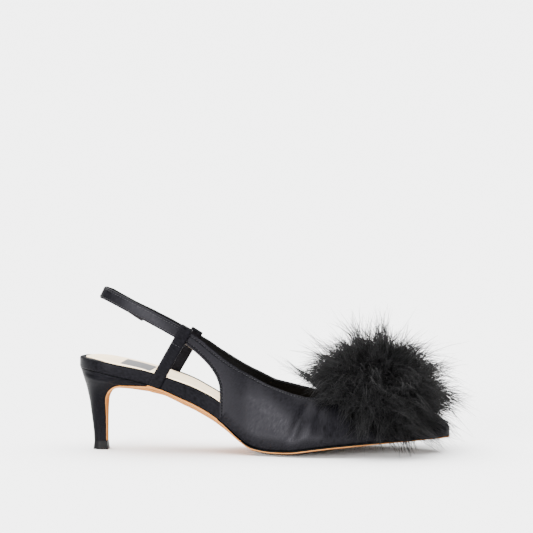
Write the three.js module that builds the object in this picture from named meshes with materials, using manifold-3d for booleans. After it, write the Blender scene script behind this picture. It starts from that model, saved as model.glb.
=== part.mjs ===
// Slingback pump with a kitten heel and a feather pompom: the right shoe of a pair.
// Millimetres, +Z up, +X towards the toe, +Y towards the inner side of the foot.
// The origin is the middle of the heel tip, on the floor.
import * as THREE from 'three';
import { mergeVertices } from 'three/addons/utils/BufferGeometryUtils.js';
import Module from 'manifold-3d';

const wasm = await Module();
wasm.setup();

// Driving sizes of the last
const LENGTH = 244.5;
const BACK_REACH = 13.8;
const BALL_WIDTH = 76;
const HEEL_HEIGHT = 55;
const TOE_SPRING = 7.7;
const INSTEP = 34.6;
const WING_HEIGHT = 45;
const HEEL_ROUND = 26;
const TOE_ROUND = 7;
const SIDE_FULLNESS = 0.88;

// Thickness of each layer, and the clearance between neighbours
const GAP = 0.3;
const FACET_GAP = 1.5 * GAP;
const UPPER_WALL = 1.6;
const SOCK_THICKNESS = 0.6;
const SOLE_EDGE = 1.5;
const SOLE_CROWN = 2.9;
const FLAP_THICKNESS = 1.2;
const RAND_HEIGHT = 8.4;
const STRAP_WALL = 1.6;
const RISER_WALL = 1.3;

// Heel
const TOP_PIECE_HEIGHT = 5.7;
const TOP_PIECE_LENGTH = 10.3;
const TOP_PIECE_WIDTH = 10.2;
const HEEL_TIP_LENGTH = 7.2;
const HEEL_TIP_WIDTH = 8.6;
const HEEL_TIP_FRONT = 2.7;
const SEAT_WIDTH = 51.4;
const BREAST_BEND = 13;
const LIP_ALONG = 0.193;
const LIP_EDGE = 0.8;

// Straps
const STRAP_WIDTH = 7.5;
const RISER_WIDTH = 8.2;
const SLING_TOP = 104.3;
const SLING_BACK = 15.5;
const SLING_LEAN = THREE.MathUtils.degToRad(26);
const LOOP_SLACK = 0.5;
const LOOP_ROOM = 1;
const TURN_IN = 6.5;

// Pompom
const POM_LENGTH = 82;
const POM_WIDTH = 84;
const POM_RISE = 28;
const POM_BACK_DROP = 12;
const POM_FRONT_DROP = 31;
const POM_SKIRT = 3.2;
const POM_ALONG = 0.795;
const POM_CENTRE_HEIGHT = 41;
const POM_TURN = 3;
const LOCK_ROWS = 9;
const LOCKS_ROUND = 16;
const LOCK_LENGTH = 15;
const LOCK_WIDTH = 9;
const LOCK_FLOOR = 5;
const LOCK_ROOT = 4;
const LOCK_CURL = 0.45;
const LOCK_DROOP = 0.9;
const LOCK_TAPER = 0.8;

const TIP_X = LENGTH - BACK_REACH;
const BALL_FEATHER = 4.1;

// Rows of values become objects with named columns
function namedRows(names, rows) {
  return rows.map((values) => Object.fromEntries(names.map((name, k) => [name, values[k]])));
}

// Height of the feather line, where sole and upper meet: the heel's share and the toe's share of the rise
const FEATHER = namedRows(['along', 'heel', 'toe'], [
  [0.0, 1.0, 0],
  [0.041, 0.982, 0],
  [0.122, 0.904, 0],
  [0.176, 0.845, 0],
  [0.225, 0.774, 0],
  [0.257, 0.723, 0],
  [0.284, 0.676, 0],
  [0.311, 0.623, 0],
  [0.338, 0.556, 0],
  [0.365, 0.479, 0],
  [0.392, 0.387, 0],
  [0.418, 0.283, 0],
  [0.445, 0.167, 0],
  [0.472, 0.066, 0],
  [0.498, 0.018, 0],
  [0.53, 0.002, 0],
  [0.556, 0, 0],
  [0.583, 0, 0.03],
  [0.61, 0, 0.143],
  [0.663, 0, 0.39],
  [0.717, 0, 0.571],
  [0.77, 0, 0.714],
  [0.874, 0, 0.87],
  [1.0, 0, 1.0],
]);

// Outline of the shoe seen from above: its middle line and half width, as shares of the ball width
const OUTLINE = namedRows(['along', 'middle', 'half'], [
  [0.0, 0, 0.334],
  [0.1, 0, 0.339],
  [0.17, 0, 0.342],
  [0.249, -0.003, 0.342],
  [0.35, -0.016, 0.336],
  [0.449, -0.029, 0.347],
  [0.549, -0.029, 0.411],
  [0.619, -0.016, 0.47],
  [0.678, 0.007, 0.5],
  [0.739, 0.03, 0.497],
  [0.799, 0.049, 0.451],
  [0.858, 0.066, 0.368],
  [0.909, 0.076, 0.28],
  [0.948, 0.084, 0.2],
  [0.979, 0.09, 0.13],
  [1.0, 0.092, 0.092],
]);

// Height of the last's ridge above the feather line, as a share of the instep
const RIDGE = namedRows(['along', 'rise'], [
  [0.26, 2.78],
  [0.302, 2.69],
  [0.384, 2.51],
  [0.465, 2.28],
  [0.506, 2.02],
  [0.547, 1.73],
  [0.588, 1.445],
  [0.629, 1.185],
  [0.67, 1.0],
  [0.711, 0.89],
  [0.752, 0.8],
  [0.793, 0.725],
  [0.834, 0.65],
  [0.874, 0.564],
  [0.915, 0.465],
  [0.956, 0.361],
  [0.969, 0.322],
  [0.985, 0.263],
  [0.9955, 0.195],
  [1.0, 0.13],
]);

// Lines up the wall of the upper, from its lower edge to its top edge or the ridge.
// Rises are above the feather line; drop and shift lower the inner wing and move it forward.
const WALL_LINES = namedRows(
  ['lowAlong', 'lowRise', 'lowDrop', 'topAlong', 'topRise', 'topDrop', 'shift'],
  [
    [0.2838, 0.815, 0.118, 0.2982, 1.0, 0.118, 0.006],
    [0.3039, 0.782, 0.112, 0.3182, 0.978, 0.112, 0.004],
    [0.3264, 0.744, 0.098, 0.3407, 0.964, 0.102, 0.002],
    [0.3489, 0.7, 0.076, 0.3652, 0.933, 0.082, 0],
    [0.3681, 0.644, 0.056, 0.3898, 0.922, 0.06, 0],
    [0.382, 0.571, 0.035, 0.4164, 0.936, 0.042, 0],
    [0.3902, 0.469, 0.02, 0.443, 0.971, 0.03, 0],
    [0.3922, 0.329, 0.01, 0.4695, 1.007, 0.022, 0],
    [0.3918, 0.16, 0, 0.4961, 0.991, 0.018, 0],
    [0.3914, 0, 0, 0.5227, 0.938, 0.018, 0],
    [0.437, 0, 0, 0.5513, 0.884, 0.018, 0],
    [0.486, 0, 0, 0.581, 0.822, 0.016, 0],
    [0.535, 0, 0, 0.6127, 0.753, 0.012, 0],
    [0.584, 0, 0, 0.6421, 0.709, 0.004, 0],
    [0.629, 0, 0, 0.6626, 0.742, 0, 0],
    [0.666, 0, 0, 0.67, 1.2, 0, 0],
    [0.703, 0, 0, 0.699, 1.2, 0, 0],
    [0.744, 0, 0, 0.739, 1.2, 0, 0],
    [0.793, 0, 0, 0.789, 1.2, 0, 0],
    [0.842, 0, 0, 0.838, 1.2, 0, 0],
    [0.891, 0, 0, 0.887, 1.2, 0, 0],
    [0.936, 0, 0, 0.934, 1.2, 0, 0],
    [0.971, 0, 0, 0.971, 1.2, 0, 0],
    [0.991, 0, 0, 0.991, 1.2, 0, 0],
    [1.0, 0, 0, 1.0, 1.2, 0, 0],
  ],
);
const THROAT_LINE = 15;
const WAIST_LINE = 9;
const BEND_LINE = 12;

// Thickness of insole and rand, and how much lower its top is on the inner side: shares of the rand's height
const BOARD = namedRows(['along', 'rise', 'drop'], [
  [0.0, 0.8, 0.16],
  [0.041, 0.915, 0.17],
  [0.122, 0.965, 0.18],
  [0.217, 1.065, 0.24],
  [0.284, 1.095, 0.26],
  [0.338, 1.185, 0.38],
  [0.39, 1.295, 0.45],
  [0.445, 1.0, 0.28],
  [0.5, 0.62, 0.1],
  [0.556, 0.42, 0],
  [0.7, 0.37, 0],
  [1.0, 0.33, 0],
]);

// Crown of the outsole, as a share of the sole's crown at the ball
const CROWN = namedRows(['along', 'crown'], [
  [0.12, 0.35],
  [0.15, 0.8],
  [0.2, 1.45],
  [0.28, 1.7],
  [0.34, 1.83],
  [0.39, 1.72],
  [0.44, 1.2],
  [0.47, 1.1],
  [0.53, 1.25],
  [0.61, 1.15],
  [0.7, 0.75],
  [0.87, 0.5],
  [1.0, 0.2],
]);

// Sections of the heel from the tip up: the back point, the place of the front point on the breast
// path, and the half width. Heights are shares of the heel height, depths of the back reach.
const HEEL_SECTIONS = namedRows(['back', 'rise', 'path', 'half'], [
  [0.33, 0.1036, 0.0, 0.167],
  [0.355, 0.209, 0.1, 0.171],
  [0.406, 0.327, 0.21, 0.195],
  [0.471, 0.455, 0.33, 0.245],
  [0.529, 0.573, 0.44, 0.335],
  [0.609, 0.682, 0.54, 0.467],
  [0.696, 0.782, 0.63, 0.63],
  [0.79, 0.86, 0.71, 0.778],
  [0.862, 0.92, 0.8, 0.89],
  [0.935, 0.971, 1.0, 0.975],
]);

// The sling's way from a loop to the back: shares of the reach back, the climb and the spread
const SLING = namedRows(['along', 'outer', 'inner', 'spread'], [
  [0.0, 0, 0, 1.0],
  [0.1, 0.12, 0.1, 0.996],
  [0.2, 0.237, 0.2, 0.982],
  [0.3, 0.348, 0.298, 0.957],
  [0.4, 0.456, 0.39, 0.918],
  [0.5, 0.56, 0.485, 0.866],
  [0.6, 0.662, 0.575, 0.802],
  [0.7, 0.764, 0.67, 0.722],
  [0.8, 0.861, 0.78, 0.615],
  [0.88, 0.936, 0.87, 0.515],
  [0.94, 0.982, 0.94, 0.4],
  [0.97, 0.995, 0.965, 0.3],
  [0.99, 0.999, 0.99, 0.18],
  [1.0, 1.0, 1.0, 0],
]);

// Each side of the shoe: its name, its sign along Y, and where its riser leaves the sole
const SIDES = [
  { name: 'lateral', sign: -1, climb: 'outer', riserAlong: 0.2135 },
  { name: 'medial', sign: 1, climb: 'inner', riserAlong: 0.226 },
];

// Value of a column at one place, on a smooth curve that never overshoots its rows
function curveThrough(places, values, at) {
  const last = places.length - 1;
  if (at <= places[0]) return values[0];
  if (at >= places[last]) return values[last];
  let k = 0;
  while (at > places[k + 1]) k += 1;
  const slope = (i) => (values[i + 1] - values[i]) / (places[i + 1] - places[i]);
  const tangent = (i) => {
    if (i === 0) return slope(0);
    if (i === last) return slope(last - 1);
    const before = slope(i - 1);
    const after = slope(i);
    return before * after <= 0 ? 0 : (2 * before * after) / (before + after);
  };
  const span = places[k + 1] - places[k];
  const t = (at - places[k]) / span;
  const rise = values[k + 1] - values[k];
  const start = tangent(k) * span;
  const end = tangent(k + 1) * span;
  const bend = start + end - 2 * rise;
  return values[k] + t * (start + t * (rise - start - bend + t * bend));
}

function column(table, name, at) {
  return curveThrough(table.map((row) => row.along), table.map((row) => row[name]), at);
}

function along(x) {
  return (x + BACK_REACH) / LENGTH;
}

function placeAlong(share) {
  return share * LENGTH - BACK_REACH;
}

function smoothStep(from, to, at) {
  return THREE.MathUtils.smoothstep(at, from, to);
}

// Shape of the last
function feather(x) {
  const heelRise = (HEEL_HEIGHT - BALL_FEATHER) * column(FEATHER, 'heel', along(x));
  return BALL_FEATHER + heelRise + TOE_SPRING * column(FEATHER, 'toe', along(x));
}

function middle(x) {
  return BALL_WIDTH * column(OUTLINE, 'middle', along(x));
}

// How far a rounded end has opened at one distance from its tip
function endRound(distance, radius) {
  if (distance >= radius) return 1;
  const short = 1 - Math.max(distance, 0) / radius;
  return Math.sqrt(1 - short * short);
}

function halfWidth(x, inset = 0) {
  const full = BALL_WIDTH * column(OUTLINE, 'half', along(x)) - inset;
  const back = endRound(x + BACK_REACH - inset, HEEL_ROUND - inset);
  const toe = endRound(TIP_X - inset - x, TOE_ROUND - inset);
  return full * back * toe;
}

// A point of the last's surface: arc is 0 at the feather line and 1 on the ridge
function lastPoint(x, arc, sign, inset) {
  const nearToe = smoothStep(TIP_X - 3 * TOE_ROUND, TIP_X, x);
  const station = x - inset * nearToe;
  const angle = (arc * Math.PI) / 2;
  const half = halfWidth(station, inset) * Math.cos(angle) ** SIDE_FULLNESS;
  const crown = INSTEP * column(RIDGE, 'rise', along(x)) - inset;
  return new THREE.Vector3(station, middle(x) + sign * half, feather(station) + crown * Math.sin(angle));
}

function arcAtRise(x, rise) {
  const crown = INSTEP * column(RIDGE, 'rise', along(x));
  return Math.asin(Math.min(1, Math.max(0, rise / crown))) / (Math.PI / 2);
}

// Lower and upper end of one wall line, in place along the shoe and arc round the last
function wallLine(line, side) {
  const inner = side.sign > 0 ? 1 : 0;
  const rows = WALL_LINES.map((row) => {
    const lowX = placeAlong(row.lowAlong + inner * row.shift);
    const topX = placeAlong(row.topAlong + inner * row.shift);
    return {
      lowX,
      lowArc: arcAtRise(lowX, WING_HEIGHT * (row.lowRise - inner * row.lowDrop)),
      topX,
      topArc: arcAtRise(topX, WING_HEIGHT * (row.topRise - inner * row.topDrop)),
    };
  });
  const places = rows.map((row, k) => k);
  const at = (name) => curveThrough(places, rows.map((row) => row[name]), line);
  return { lowX: at('lowX'), lowArc: at('lowArc'), topX: at('topX'), topArc: at('topArc') };
}

function upperPoint(ends, share, side, inset) {
  const x = THREE.MathUtils.lerp(ends.lowX, ends.topX, share);
  const arc = THREE.MathUtils.lerp(ends.lowArc, ends.topArc, share);
  return lastPoint(x, arc, side.sign, inset);
}

// A closed geometry from triangles of points, with its faces turned outwards
class Facets {
  constructor() {
    this.points = [];
  }

  triangle(a, b, c) {
    const smallest = Math.min(a.distanceTo(b), b.distanceTo(c), c.distanceTo(a));
    if (smallest < 1e-4) return;
    this.points.push(a, b, c);
  }

  quad(a, b, c, d) {
    this.triangle(a, b, c);
    this.triangle(a, c, d);
  }

  // Both faces of a grid strip, and the rims that the caller asks for
  surface(grid, turned) {
    for (let i = 0; i + 1 < grid.length; i += 1) {
      for (let j = 0; j + 1 < grid[i].length; j += 1) {
        const ring = [grid[i][j], grid[i + 1][j], grid[i + 1][j + 1], grid[i][j + 1]];
        if (turned) ring.reverse();
        this.quad(...ring);
      }
    }
  }

  rim(first, second, turned) {
    for (let k = 0; k + 1 < first.length; k += 1) {
      const ring = [first[k], second[k], second[k + 1], first[k + 1]];
      if (turned) ring.reverse();
      this.quad(...ring);
    }
  }

  volume() {
    let sum = 0;
    for (let k = 0; k < this.points.length; k += 3) {
      const [a, b, c] = this.points.slice(k, k + 3);
      sum += a.dot(new THREE.Vector3().crossVectors(b, c)) / 6;
    }
    return sum;
  }

  geometry() {
    const outward = this.volume() > 0;
    const positions = [];
    for (let k = 0; k < this.points.length; k += 3) {
      const [a, b, c] = this.points.slice(k, k + 3);
      const corners = outward ? [a, b, c] : [a, c, b];
      corners.forEach((point) => positions.push(...point.toArray()));
    }
    const plain = new THREE.BufferGeometry();
    plain.setAttribute('position', new THREE.Float32BufferAttribute(positions, 3));
    return mergeVertices(plain);
  }
}

const lastOf = (list) => list[list.length - 1];

// A closed solid between two grids of points that face each other
function slab(top, bottom) {
  const facets = new Facets();
  facets.surface(top, false);
  facets.surface(bottom, true);
  facets.rim(top.map((row) => row[0]), bottom.map((row) => row[0]), false);
  facets.rim(top.map(lastOf), bottom.map(lastOf), true);
  facets.rim(top[0], bottom[0], true);
  facets.rim(lastOf(top), lastOf(bottom), false);
  return facets.geometry();
}

// Places between two ends, closer together near both ends
function easedPlaces(from, to, count) {
  return Array.from({ length: count + 1 }, (_, k) => {
    const t = k / count;
    const eased = t - (0.8 * Math.sin(2 * Math.PI * t)) / (2 * Math.PI);
    return THREE.MathUtils.lerp(from, to, eased);
  });
}

// Stations that insole, sock and outsole share, so that their faces keep an even clearance.
// They are closer together at both ends, and where the waist bends into the forepart.
const BEND_STATIONS = [0.435, 0.4475, 0.46, 0.4725, 0.485, 0.5, 0.515].map(placeAlong);
const BEND_ROOM = 2;
const atBend = (x) => x > BEND_STATIONS[0] - BEND_ROOM && x < lastOf(BEND_STATIONS) + BEND_ROOM;
const STATIONS = [
  ...easedPlaces(-BACK_REACH, TIP_X, 40).filter((x) => !atBend(x)),
  ...BEND_STATIONS,
].sort((a, b) => a - b);
const STATION_ROOM = 0.4;

function stationsBetween(from, to) {
  const inside = STATIONS.filter((x) => x > from + STATION_ROOM && x < to - STATION_ROOM);
  return [from, ...inside, to];
}

function acrossShares(count) {
  return Array.from({ length: count + 1 }, (_, k) => (2 * k) / count - 1);
}

function solidOf(geometry) {
  const mesh = new wasm.Mesh({
    numProp: 3,
    vertProperties: new Float32Array(geometry.attributes.position.array),
    triVerts: new Uint32Array(geometry.index.array),
  });
  return new wasm.Manifold(mesh);
}

function geometryOf(solid) {
  const mesh = solid.getMesh();
  const geometry = new THREE.BufferGeometry();
  geometry.setAttribute('position', new THREE.BufferAttribute(mesh.vertProperties, 3));
  geometry.setIndex(new THREE.BufferAttribute(mesh.triVerts, 1));
  return geometry;
}

// Insole board: the satin rand's height behind the vamp, thin and inset inside it
const VAMP_ALONG = 0.385;
const INSET_FROM_ALONG = 0.24;

function boardInset(x) {
  return (UPPER_WALL + GAP) * smoothStep(placeAlong(INSET_FROM_ALONG), placeAlong(VAMP_ALONG), x);
}

function boardTop(x, y) {
  const across = (y - middle(x)) / (BALL_WIDTH * column(OUTLINE, 'half', along(x)));
  const drop = (column(BOARD, 'drop', along(x)) * (across + 1)) / 2;
  return feather(x) + RAND_HEIGHT * (column(BOARD, 'rise', along(x)) - drop);
}

// Half the room between the upper's walls at one height, less the clearance
function roomInUpper(x, height) {
  const ahead = x + UPPER_WALL * smoothStep(TIP_X - 3 * TOE_ROUND, TIP_X, x);
  const crown = INSTEP * column(RIDGE, 'rise', along(ahead)) - UPPER_WALL;
  const lean = Math.max(0, 1 - ((height - feather(x)) / crown) ** 2) ** (SIDE_FULLNESS / 2);
  return Math.max(0, halfWidth(ahead, UPPER_WALL) * lean - FACET_GAP);
}

function footbedPoint(x, across, extraInset, heightAt) {
  const free = halfWidth(x, boardInset(x) + extraInset);
  const height = heightAt(x, middle(x) + across * free);
  const half = x < placeAlong(VAMP_ALONG) ? free : Math.min(free, roomInUpper(x, height));
  return new THREE.Vector3(x, middle(x) + across * half, height);
}

// The footbed stops short of the toe, where the walls draw together
const FOOTBED_SHORT = 2.2;
const FOOTBED_FRONT = TIP_X - UPPER_WALL - GAP - FOOTBED_SHORT;

function insoleBoard() {
  const front = FOOTBED_FRONT;
  const places = stationsBetween(-BACK_REACH, front);
  const grid = (heightAt) => places.map((x) =>
    acrossShares(4).map((across) => footbedPoint(x, across, 0, heightAt)));
  return slab(grid(boardTop), grid(feather));
}

const SOCK_INSET = 0.5;

function sockLining() {
  const front = FOOTBED_FRONT - 2 * SOCK_INSET;
  const places = stationsBetween(-BACK_REACH + SOCK_INSET, front);
  const grid = (lift) => {
    const heightAt = (x, y) => boardTop(x, y) + GAP + lift;
    return places.map((x) => acrossShares(4).map((across) => footbedPoint(x, across, SOCK_INSET, heightAt)));
  };
  return slab(grid(SOCK_THICKNESS), grid(0));
}

// Path up the breast of the heel, round its bend and forward under the lip, in the XZ plane.
// share runs from 0 at the heel tip to 1 at the front of the lip; out moves it away from the heel.
const LIP_X = placeAlong(LIP_ALONG);
const LIP_Z = feather(LIP_X) - GAP - LIP_EDGE;
const BEND_FROM = 0.44;
const BEND_TO = 0.78;

function breastPath(share, out) {
  const bendX = HEEL_TIP_FRONT + BREAST_BEND;
  const bendZ = LIP_Z - BREAST_BEND;
  const radius = BREAST_BEND - out;
  if (share < BEND_FROM) {
    const z = THREE.MathUtils.lerp(TOP_PIECE_HEIGHT, bendZ, share / BEND_FROM);
    return { x: HEEL_TIP_FRONT + out, z, turn: 0 };
  }
  if (share < BEND_TO) {
    const turn = ((share - BEND_FROM) / (BEND_TO - BEND_FROM)) * (Math.PI / 2);
    return { x: bendX - radius * Math.cos(turn), z: bendZ + radius * Math.sin(turn), turn };
  }
  const x = THREE.MathUtils.lerp(bendX, LIP_X, (share - BEND_TO) / (1 - BEND_TO));
  return { x, z: LIP_Z - out, turn: Math.PI / 2 };
}

// Half of a D-shaped outline: how wide it is at a share of its depth from the round back
const SEAT_ROUND_SHARE = HEEL_ROUND / (LIP_X + BACK_REACH);
const D_SHARES = [0, 0.02, 0.07, 0.15, 0.26, 0.4, 0.56, 0.78, 1];

function dSection(back, front, halfAt, bulge) {
  const side = (sign) => D_SHARES.map((share) => new THREE.Vector3(
    THREE.MathUtils.lerp(back.x, front.x, share),
    sign * halfAt(share),
    THREE.MathUtils.lerp(back.z, front.z, share) + bulge(share),
  ));
  return { left: side(1), right: side(-1) };
}

// A solid through D-shaped sections: round at the back, flat across the front
function stackedD(sections) {
  const facets = new Facets();
  const ring = ({ left, right }) => [...right.slice().reverse(), ...left.slice(1)];
  const rings = sections.map(ring);
  facets.surface(rings, false);
  facets.rim(rings.map((row) => row[0]), rings.map(lastOf), false);
  const cap = ({ left, right }, turned) => facets.rim(left, right, turned);
  cap(sections[0], true);
  cap(lastOf(sections), false);
  return facets.geometry();
}

// Shares of the breast path that have a section of the heel and a row of the flap
const PATH_SHARES = [0, 0.1, 0.21, 0.33, 0.44, 0.49, 0.54, 0.585, 0.63, 0.67, 0.71, 0.745, 0.78, 0.86, 1];

function heelColumn(name, share) {
  return curveThrough(HEEL_SECTIONS.map((row) => row.path), HEEL_SECTIONS.map((row) => row[name]), share);
}

function heelHalfOnPath(share) {
  return (heelColumn('half', share) * SEAT_WIDTH) / 2;
}

function heelSection(share) {
  const back = { x: -heelColumn('back', share) * BACK_REACH, z: heelColumn('rise', share) * HEEL_HEIGHT };
  const front = breastPath(share, 0);
  if (share === 0) back.z = front.z;
  const widest = share === 0 ? HEEL_TIP_WIDTH / 2 : heelHalfOnPath(share);
  const halfAt = (share) => widest * endRound(share, SEAT_ROUND_SHARE);
  return dSection(back, front, halfAt, () => 0);
}

// The seat: the heel's top face follows the bottom of the insole board
const SEAT_INSET = 0.4;

function seatSection() {
  const back = { x: -BACK_REACH + SEAT_INSET, z: 0 };
  const front = { x: LIP_X, z: 0 };
  const xAt = (share) => THREE.MathUtils.lerp(back.x, front.x, share);
  const halfAt = (share) => halfWidth(xAt(share), SEAT_INSET);
  return dSection(back, front, halfAt, (share) => feather(xAt(share)) - GAP);
}

function heel() {
  return stackedD([...PATH_SHARES.map(heelSection), seatSection()]);
}

// The top piece covers the heel's tip and the end of the flap, and flares out to the floor
function topPiece() {
  const covered = HEEL_TIP_LENGTH + GAP + FLAP_THICKNESS;
  const level = (z, length, width) => {
    const front = HEEL_TIP_FRONT + GAP + FLAP_THICKNESS + (length - covered) / 2;
    const halfAt = (share) => (width / 2) * endRound(share, SEAT_ROUND_SHARE);
    return dSection({ x: front - length, z }, { x: front, z }, halfAt, () => 0);
  };
  return stackedD([
    level(0, TOP_PIECE_LENGTH, TOP_PIECE_WIDTH),
    level(TOP_PIECE_HEIGHT, covered, HEEL_TIP_WIDTH),
  ]);
}

// Outsole: the flap on the breast, then the waist and the forepart, with a crowned bottom
const SOLE_INSET = 0.4;
const FLAP_INSET = 0.3;
const WIDENS_OVER = 0.055;

function soleRows() {
  const flap = PATH_SHARES.map((share) => {
    const place = breastPath(share, GAP);
    const bent = smoothStep(BEND_FROM, BEND_TO, share);
    return {
      ...place,
      middle: 0,
      half: heelHalfOnPath(share) - FLAP_INSET,
      edge: THREE.MathUtils.lerp(FLAP_THICKNESS, SOLE_EDGE, bent),
      crown: SOLE_CROWN * column(CROWN, 'crown', along(place.x)) * smoothStep(BEND_FROM, BEND_TO, share),
    };
  });
  const forward = stationsBetween(LIP_X + LIP_EDGE, TIP_X).map((x) => {
    const underUpper = smoothStep(placeAlong(VAMP_ALONG), placeAlong(VAMP_ALONG + WIDENS_OVER), x);
    return {
      x,
      z: feather(x) - GAP,
      turn: Math.PI / 2,
      middle: middle(x),
      half: halfWidth(x, SOLE_INSET + boardInset(x) * (1 - underUpper)),
      edge: SOLE_EDGE,
      crown: SOLE_CROWN * column(CROWN, 'crown', along(x)),
    };
  });
  return [...flap, ...forward];
}

function outsole() {
  const top = [];
  const bottom = [];
  soleRows().forEach((row) => {
    const away = new THREE.Vector3(Math.cos(row.turn), 0, -Math.sin(row.turn));
    const across = acrossShares(8);
    const points = across.map((y) => new THREE.Vector3(row.x, row.middle + y * row.half, row.z));
    top.push(points);
    bottom.push(points.map((point, k) => {
      const depth = row.edge + row.crown * (1 - across[k] ** 2);
      const low = point.clone().addScaledVector(away, depth);
      low.z = Math.max(0, low.z);
      return low;
    }));
  });
  return slab(top, bottom);
}

// Upper: two walls that join on the ridge ahead of the throat
const UPPER_SHARES = 8;

function evenSteps(from, to, count) {
  return Array.from({ length: count }, (_, k) => from + ((to - from) * k) / count);
}

// Rows of the wall, closer together where the sole bends under it
const UPPER_ROWS = [
  ...evenSteps(0, WAIST_LINE, 12),
  ...evenSteps(WAIST_LINE, BEND_LINE, 9),
  ...evenSteps(BEND_LINE, THROAT_LINE, 4),
  ...evenSteps(THROAT_LINE, WALL_LINES.length - 1, 13),
  WALL_LINES.length - 1,
];

function upperRow(line, side, inset) {
  const ends = wallLine(line, side);
  return Array.from({ length: UPPER_SHARES + 1 }, (_, j) => upperPoint(ends, j / UPPER_SHARES, side, inset));
}

function upperGrid(side, inset) {
  return UPPER_ROWS.map((line) => upperRow(line, side, inset));
}

function upper() {
  const facets = new Facets();
  const throat = UPPER_ROWS.indexOf(THROAT_LINE);
  SIDES.forEach((side) => {
    const turned = side.sign > 0;
    const outer = upperGrid(side, 0);
    const inner = upperGrid(side, UPPER_WALL);
    facets.surface(outer, turned);
    facets.surface(inner, !turned);
    facets.rim(outer.map((row) => row[0]), inner.map((row) => row[0]), turned);
    const openOuter = outer.slice(0, throat + 1).map(lastOf);
    const openInner = inner.slice(0, throat + 1).map(lastOf);
    facets.rim(openOuter, openInner, !turned);
    facets.rim(outer[0], inner[0], !turned);
  });
  return facets.geometry();
}

// The loop on one side: the end of the wing there, with the strap's lean and the riser's foot
function loopPlace(side) {
  const ends = wallLine(0, side);
  const low = upperPoint(ends, 0, side, UPPER_WALL / 2);
  const top = upperPoint(ends, 1, side, UPPER_WALL / 2);
  const centre = low.clone().add(top).multiplyScalar(0.5);
  const footX = placeAlong(side.riserAlong);
  return { low, top, centre, foot: new THREE.Vector3(footX, 0, feather(footX)) };
}

// Middle line of the sling from the outer loop round the back to the inner loop
function slingPoint(side, share) {
  const { centre, low, top } = loopPlace(side);
  const up = top.clone().sub(low).setY(0).normalize();
  const start = centre.clone().addScaledVector(new THREE.Vector3(-up.z, 0, up.x), GAP + UPPER_WALL / 4);
  const backX = -BACK_REACH + SLING_BACK;
  return new THREE.Vector3(
    THREE.MathUtils.lerp(start.x, backX, share),
    start.y * column(SLING, 'spread', share),
    THREE.MathUtils.lerp(start.z, SLING_TOP, column(SLING, side.climb, share)),
  );
}

// Which way the sling stands: like the wing at its loop, and on its own lean round the back
function slingLean(side, share) {
  const { low, top } = loopPlace(side);
  const wing = top.clone().sub(low).normalize();
  const free = new THREE.Vector3(Math.sin(SLING_LEAN), 0, Math.cos(SLING_LEAN));
  return wing.lerp(free, smoothStep(0.08, 0.5, share)).normalize();
}

// A band of even width and wall along a line of points, each with the way that it stands
function band(points, leans, wall, width, offset) {
  const outer = [];
  const inner = [];
  points.forEach((point, k) => {
    const lean = leans[k];
    const before = points[Math.max(0, k - 1)];
    const after = points[Math.min(points.length - 1, k + 1)];
    const way = after.clone().sub(before).normalize();
    const up = lean.clone().addScaledVector(way, -lean.dot(way)).normalize();
    const out = new THREE.Vector3().crossVectors(up, way).normalize();
    const at = (depth, height) => point.clone()
      .addScaledVector(out, depth).addScaledVector(up, height);
    outer.push([at(offset + wall / 2, -width / 2), at(offset + wall / 2, width / 2)]);
    inner.push([at(offset - wall / 2, -width / 2), at(offset - wall / 2, width / 2)]);
  });
  return slab(outer, inner);
}

const SLING_SHARES = [0, 0.07, 0.15, 0.25, 0.35, 0.45, 0.55, 0.64, 0.72, 0.79, 0.85, 0.9, 0.94, 0.97, 0.99];

function slingStrap() {
  const [lateral, medial] = SIDES;
  const places = [
    ...SLING_SHARES.map((share) => [lateral, share]),
    [lateral, 1],
    ...SLING_SHARES.slice().reverse().map((share) => [medial, share]),
  ];
  const points = places.map(([side, share]) => slingPoint(side, share));
  const leans = places.map(([side, share]) => slingLean(side, share));
  return band(points, leans, STRAP_WALL, STRAP_WIDTH, 0);
}

// How round the loop's fold is, and how steeply its turned end comes back, as shares of its wall
const FOLD_SOFTNESS = 0.55;
const FOLD_SLOPE = 0.35;

// An outline with its long edges divided, so that it can bend
const OUTLINE_STEP = 5;

function dividedOutline(corners) {
  return corners.flatMap((corner, k) => {
    const from = new THREE.Vector2(...corner);
    const to = new THREE.Vector2(...corners[(k + 1) % corners.length]);
    const count = Math.max(1, Math.round(from.distanceTo(to) / OUTLINE_STEP));
    return Array.from({ length: count }, (_, j) => from.clone().lerp(to, j / count));
  });
}

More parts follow.
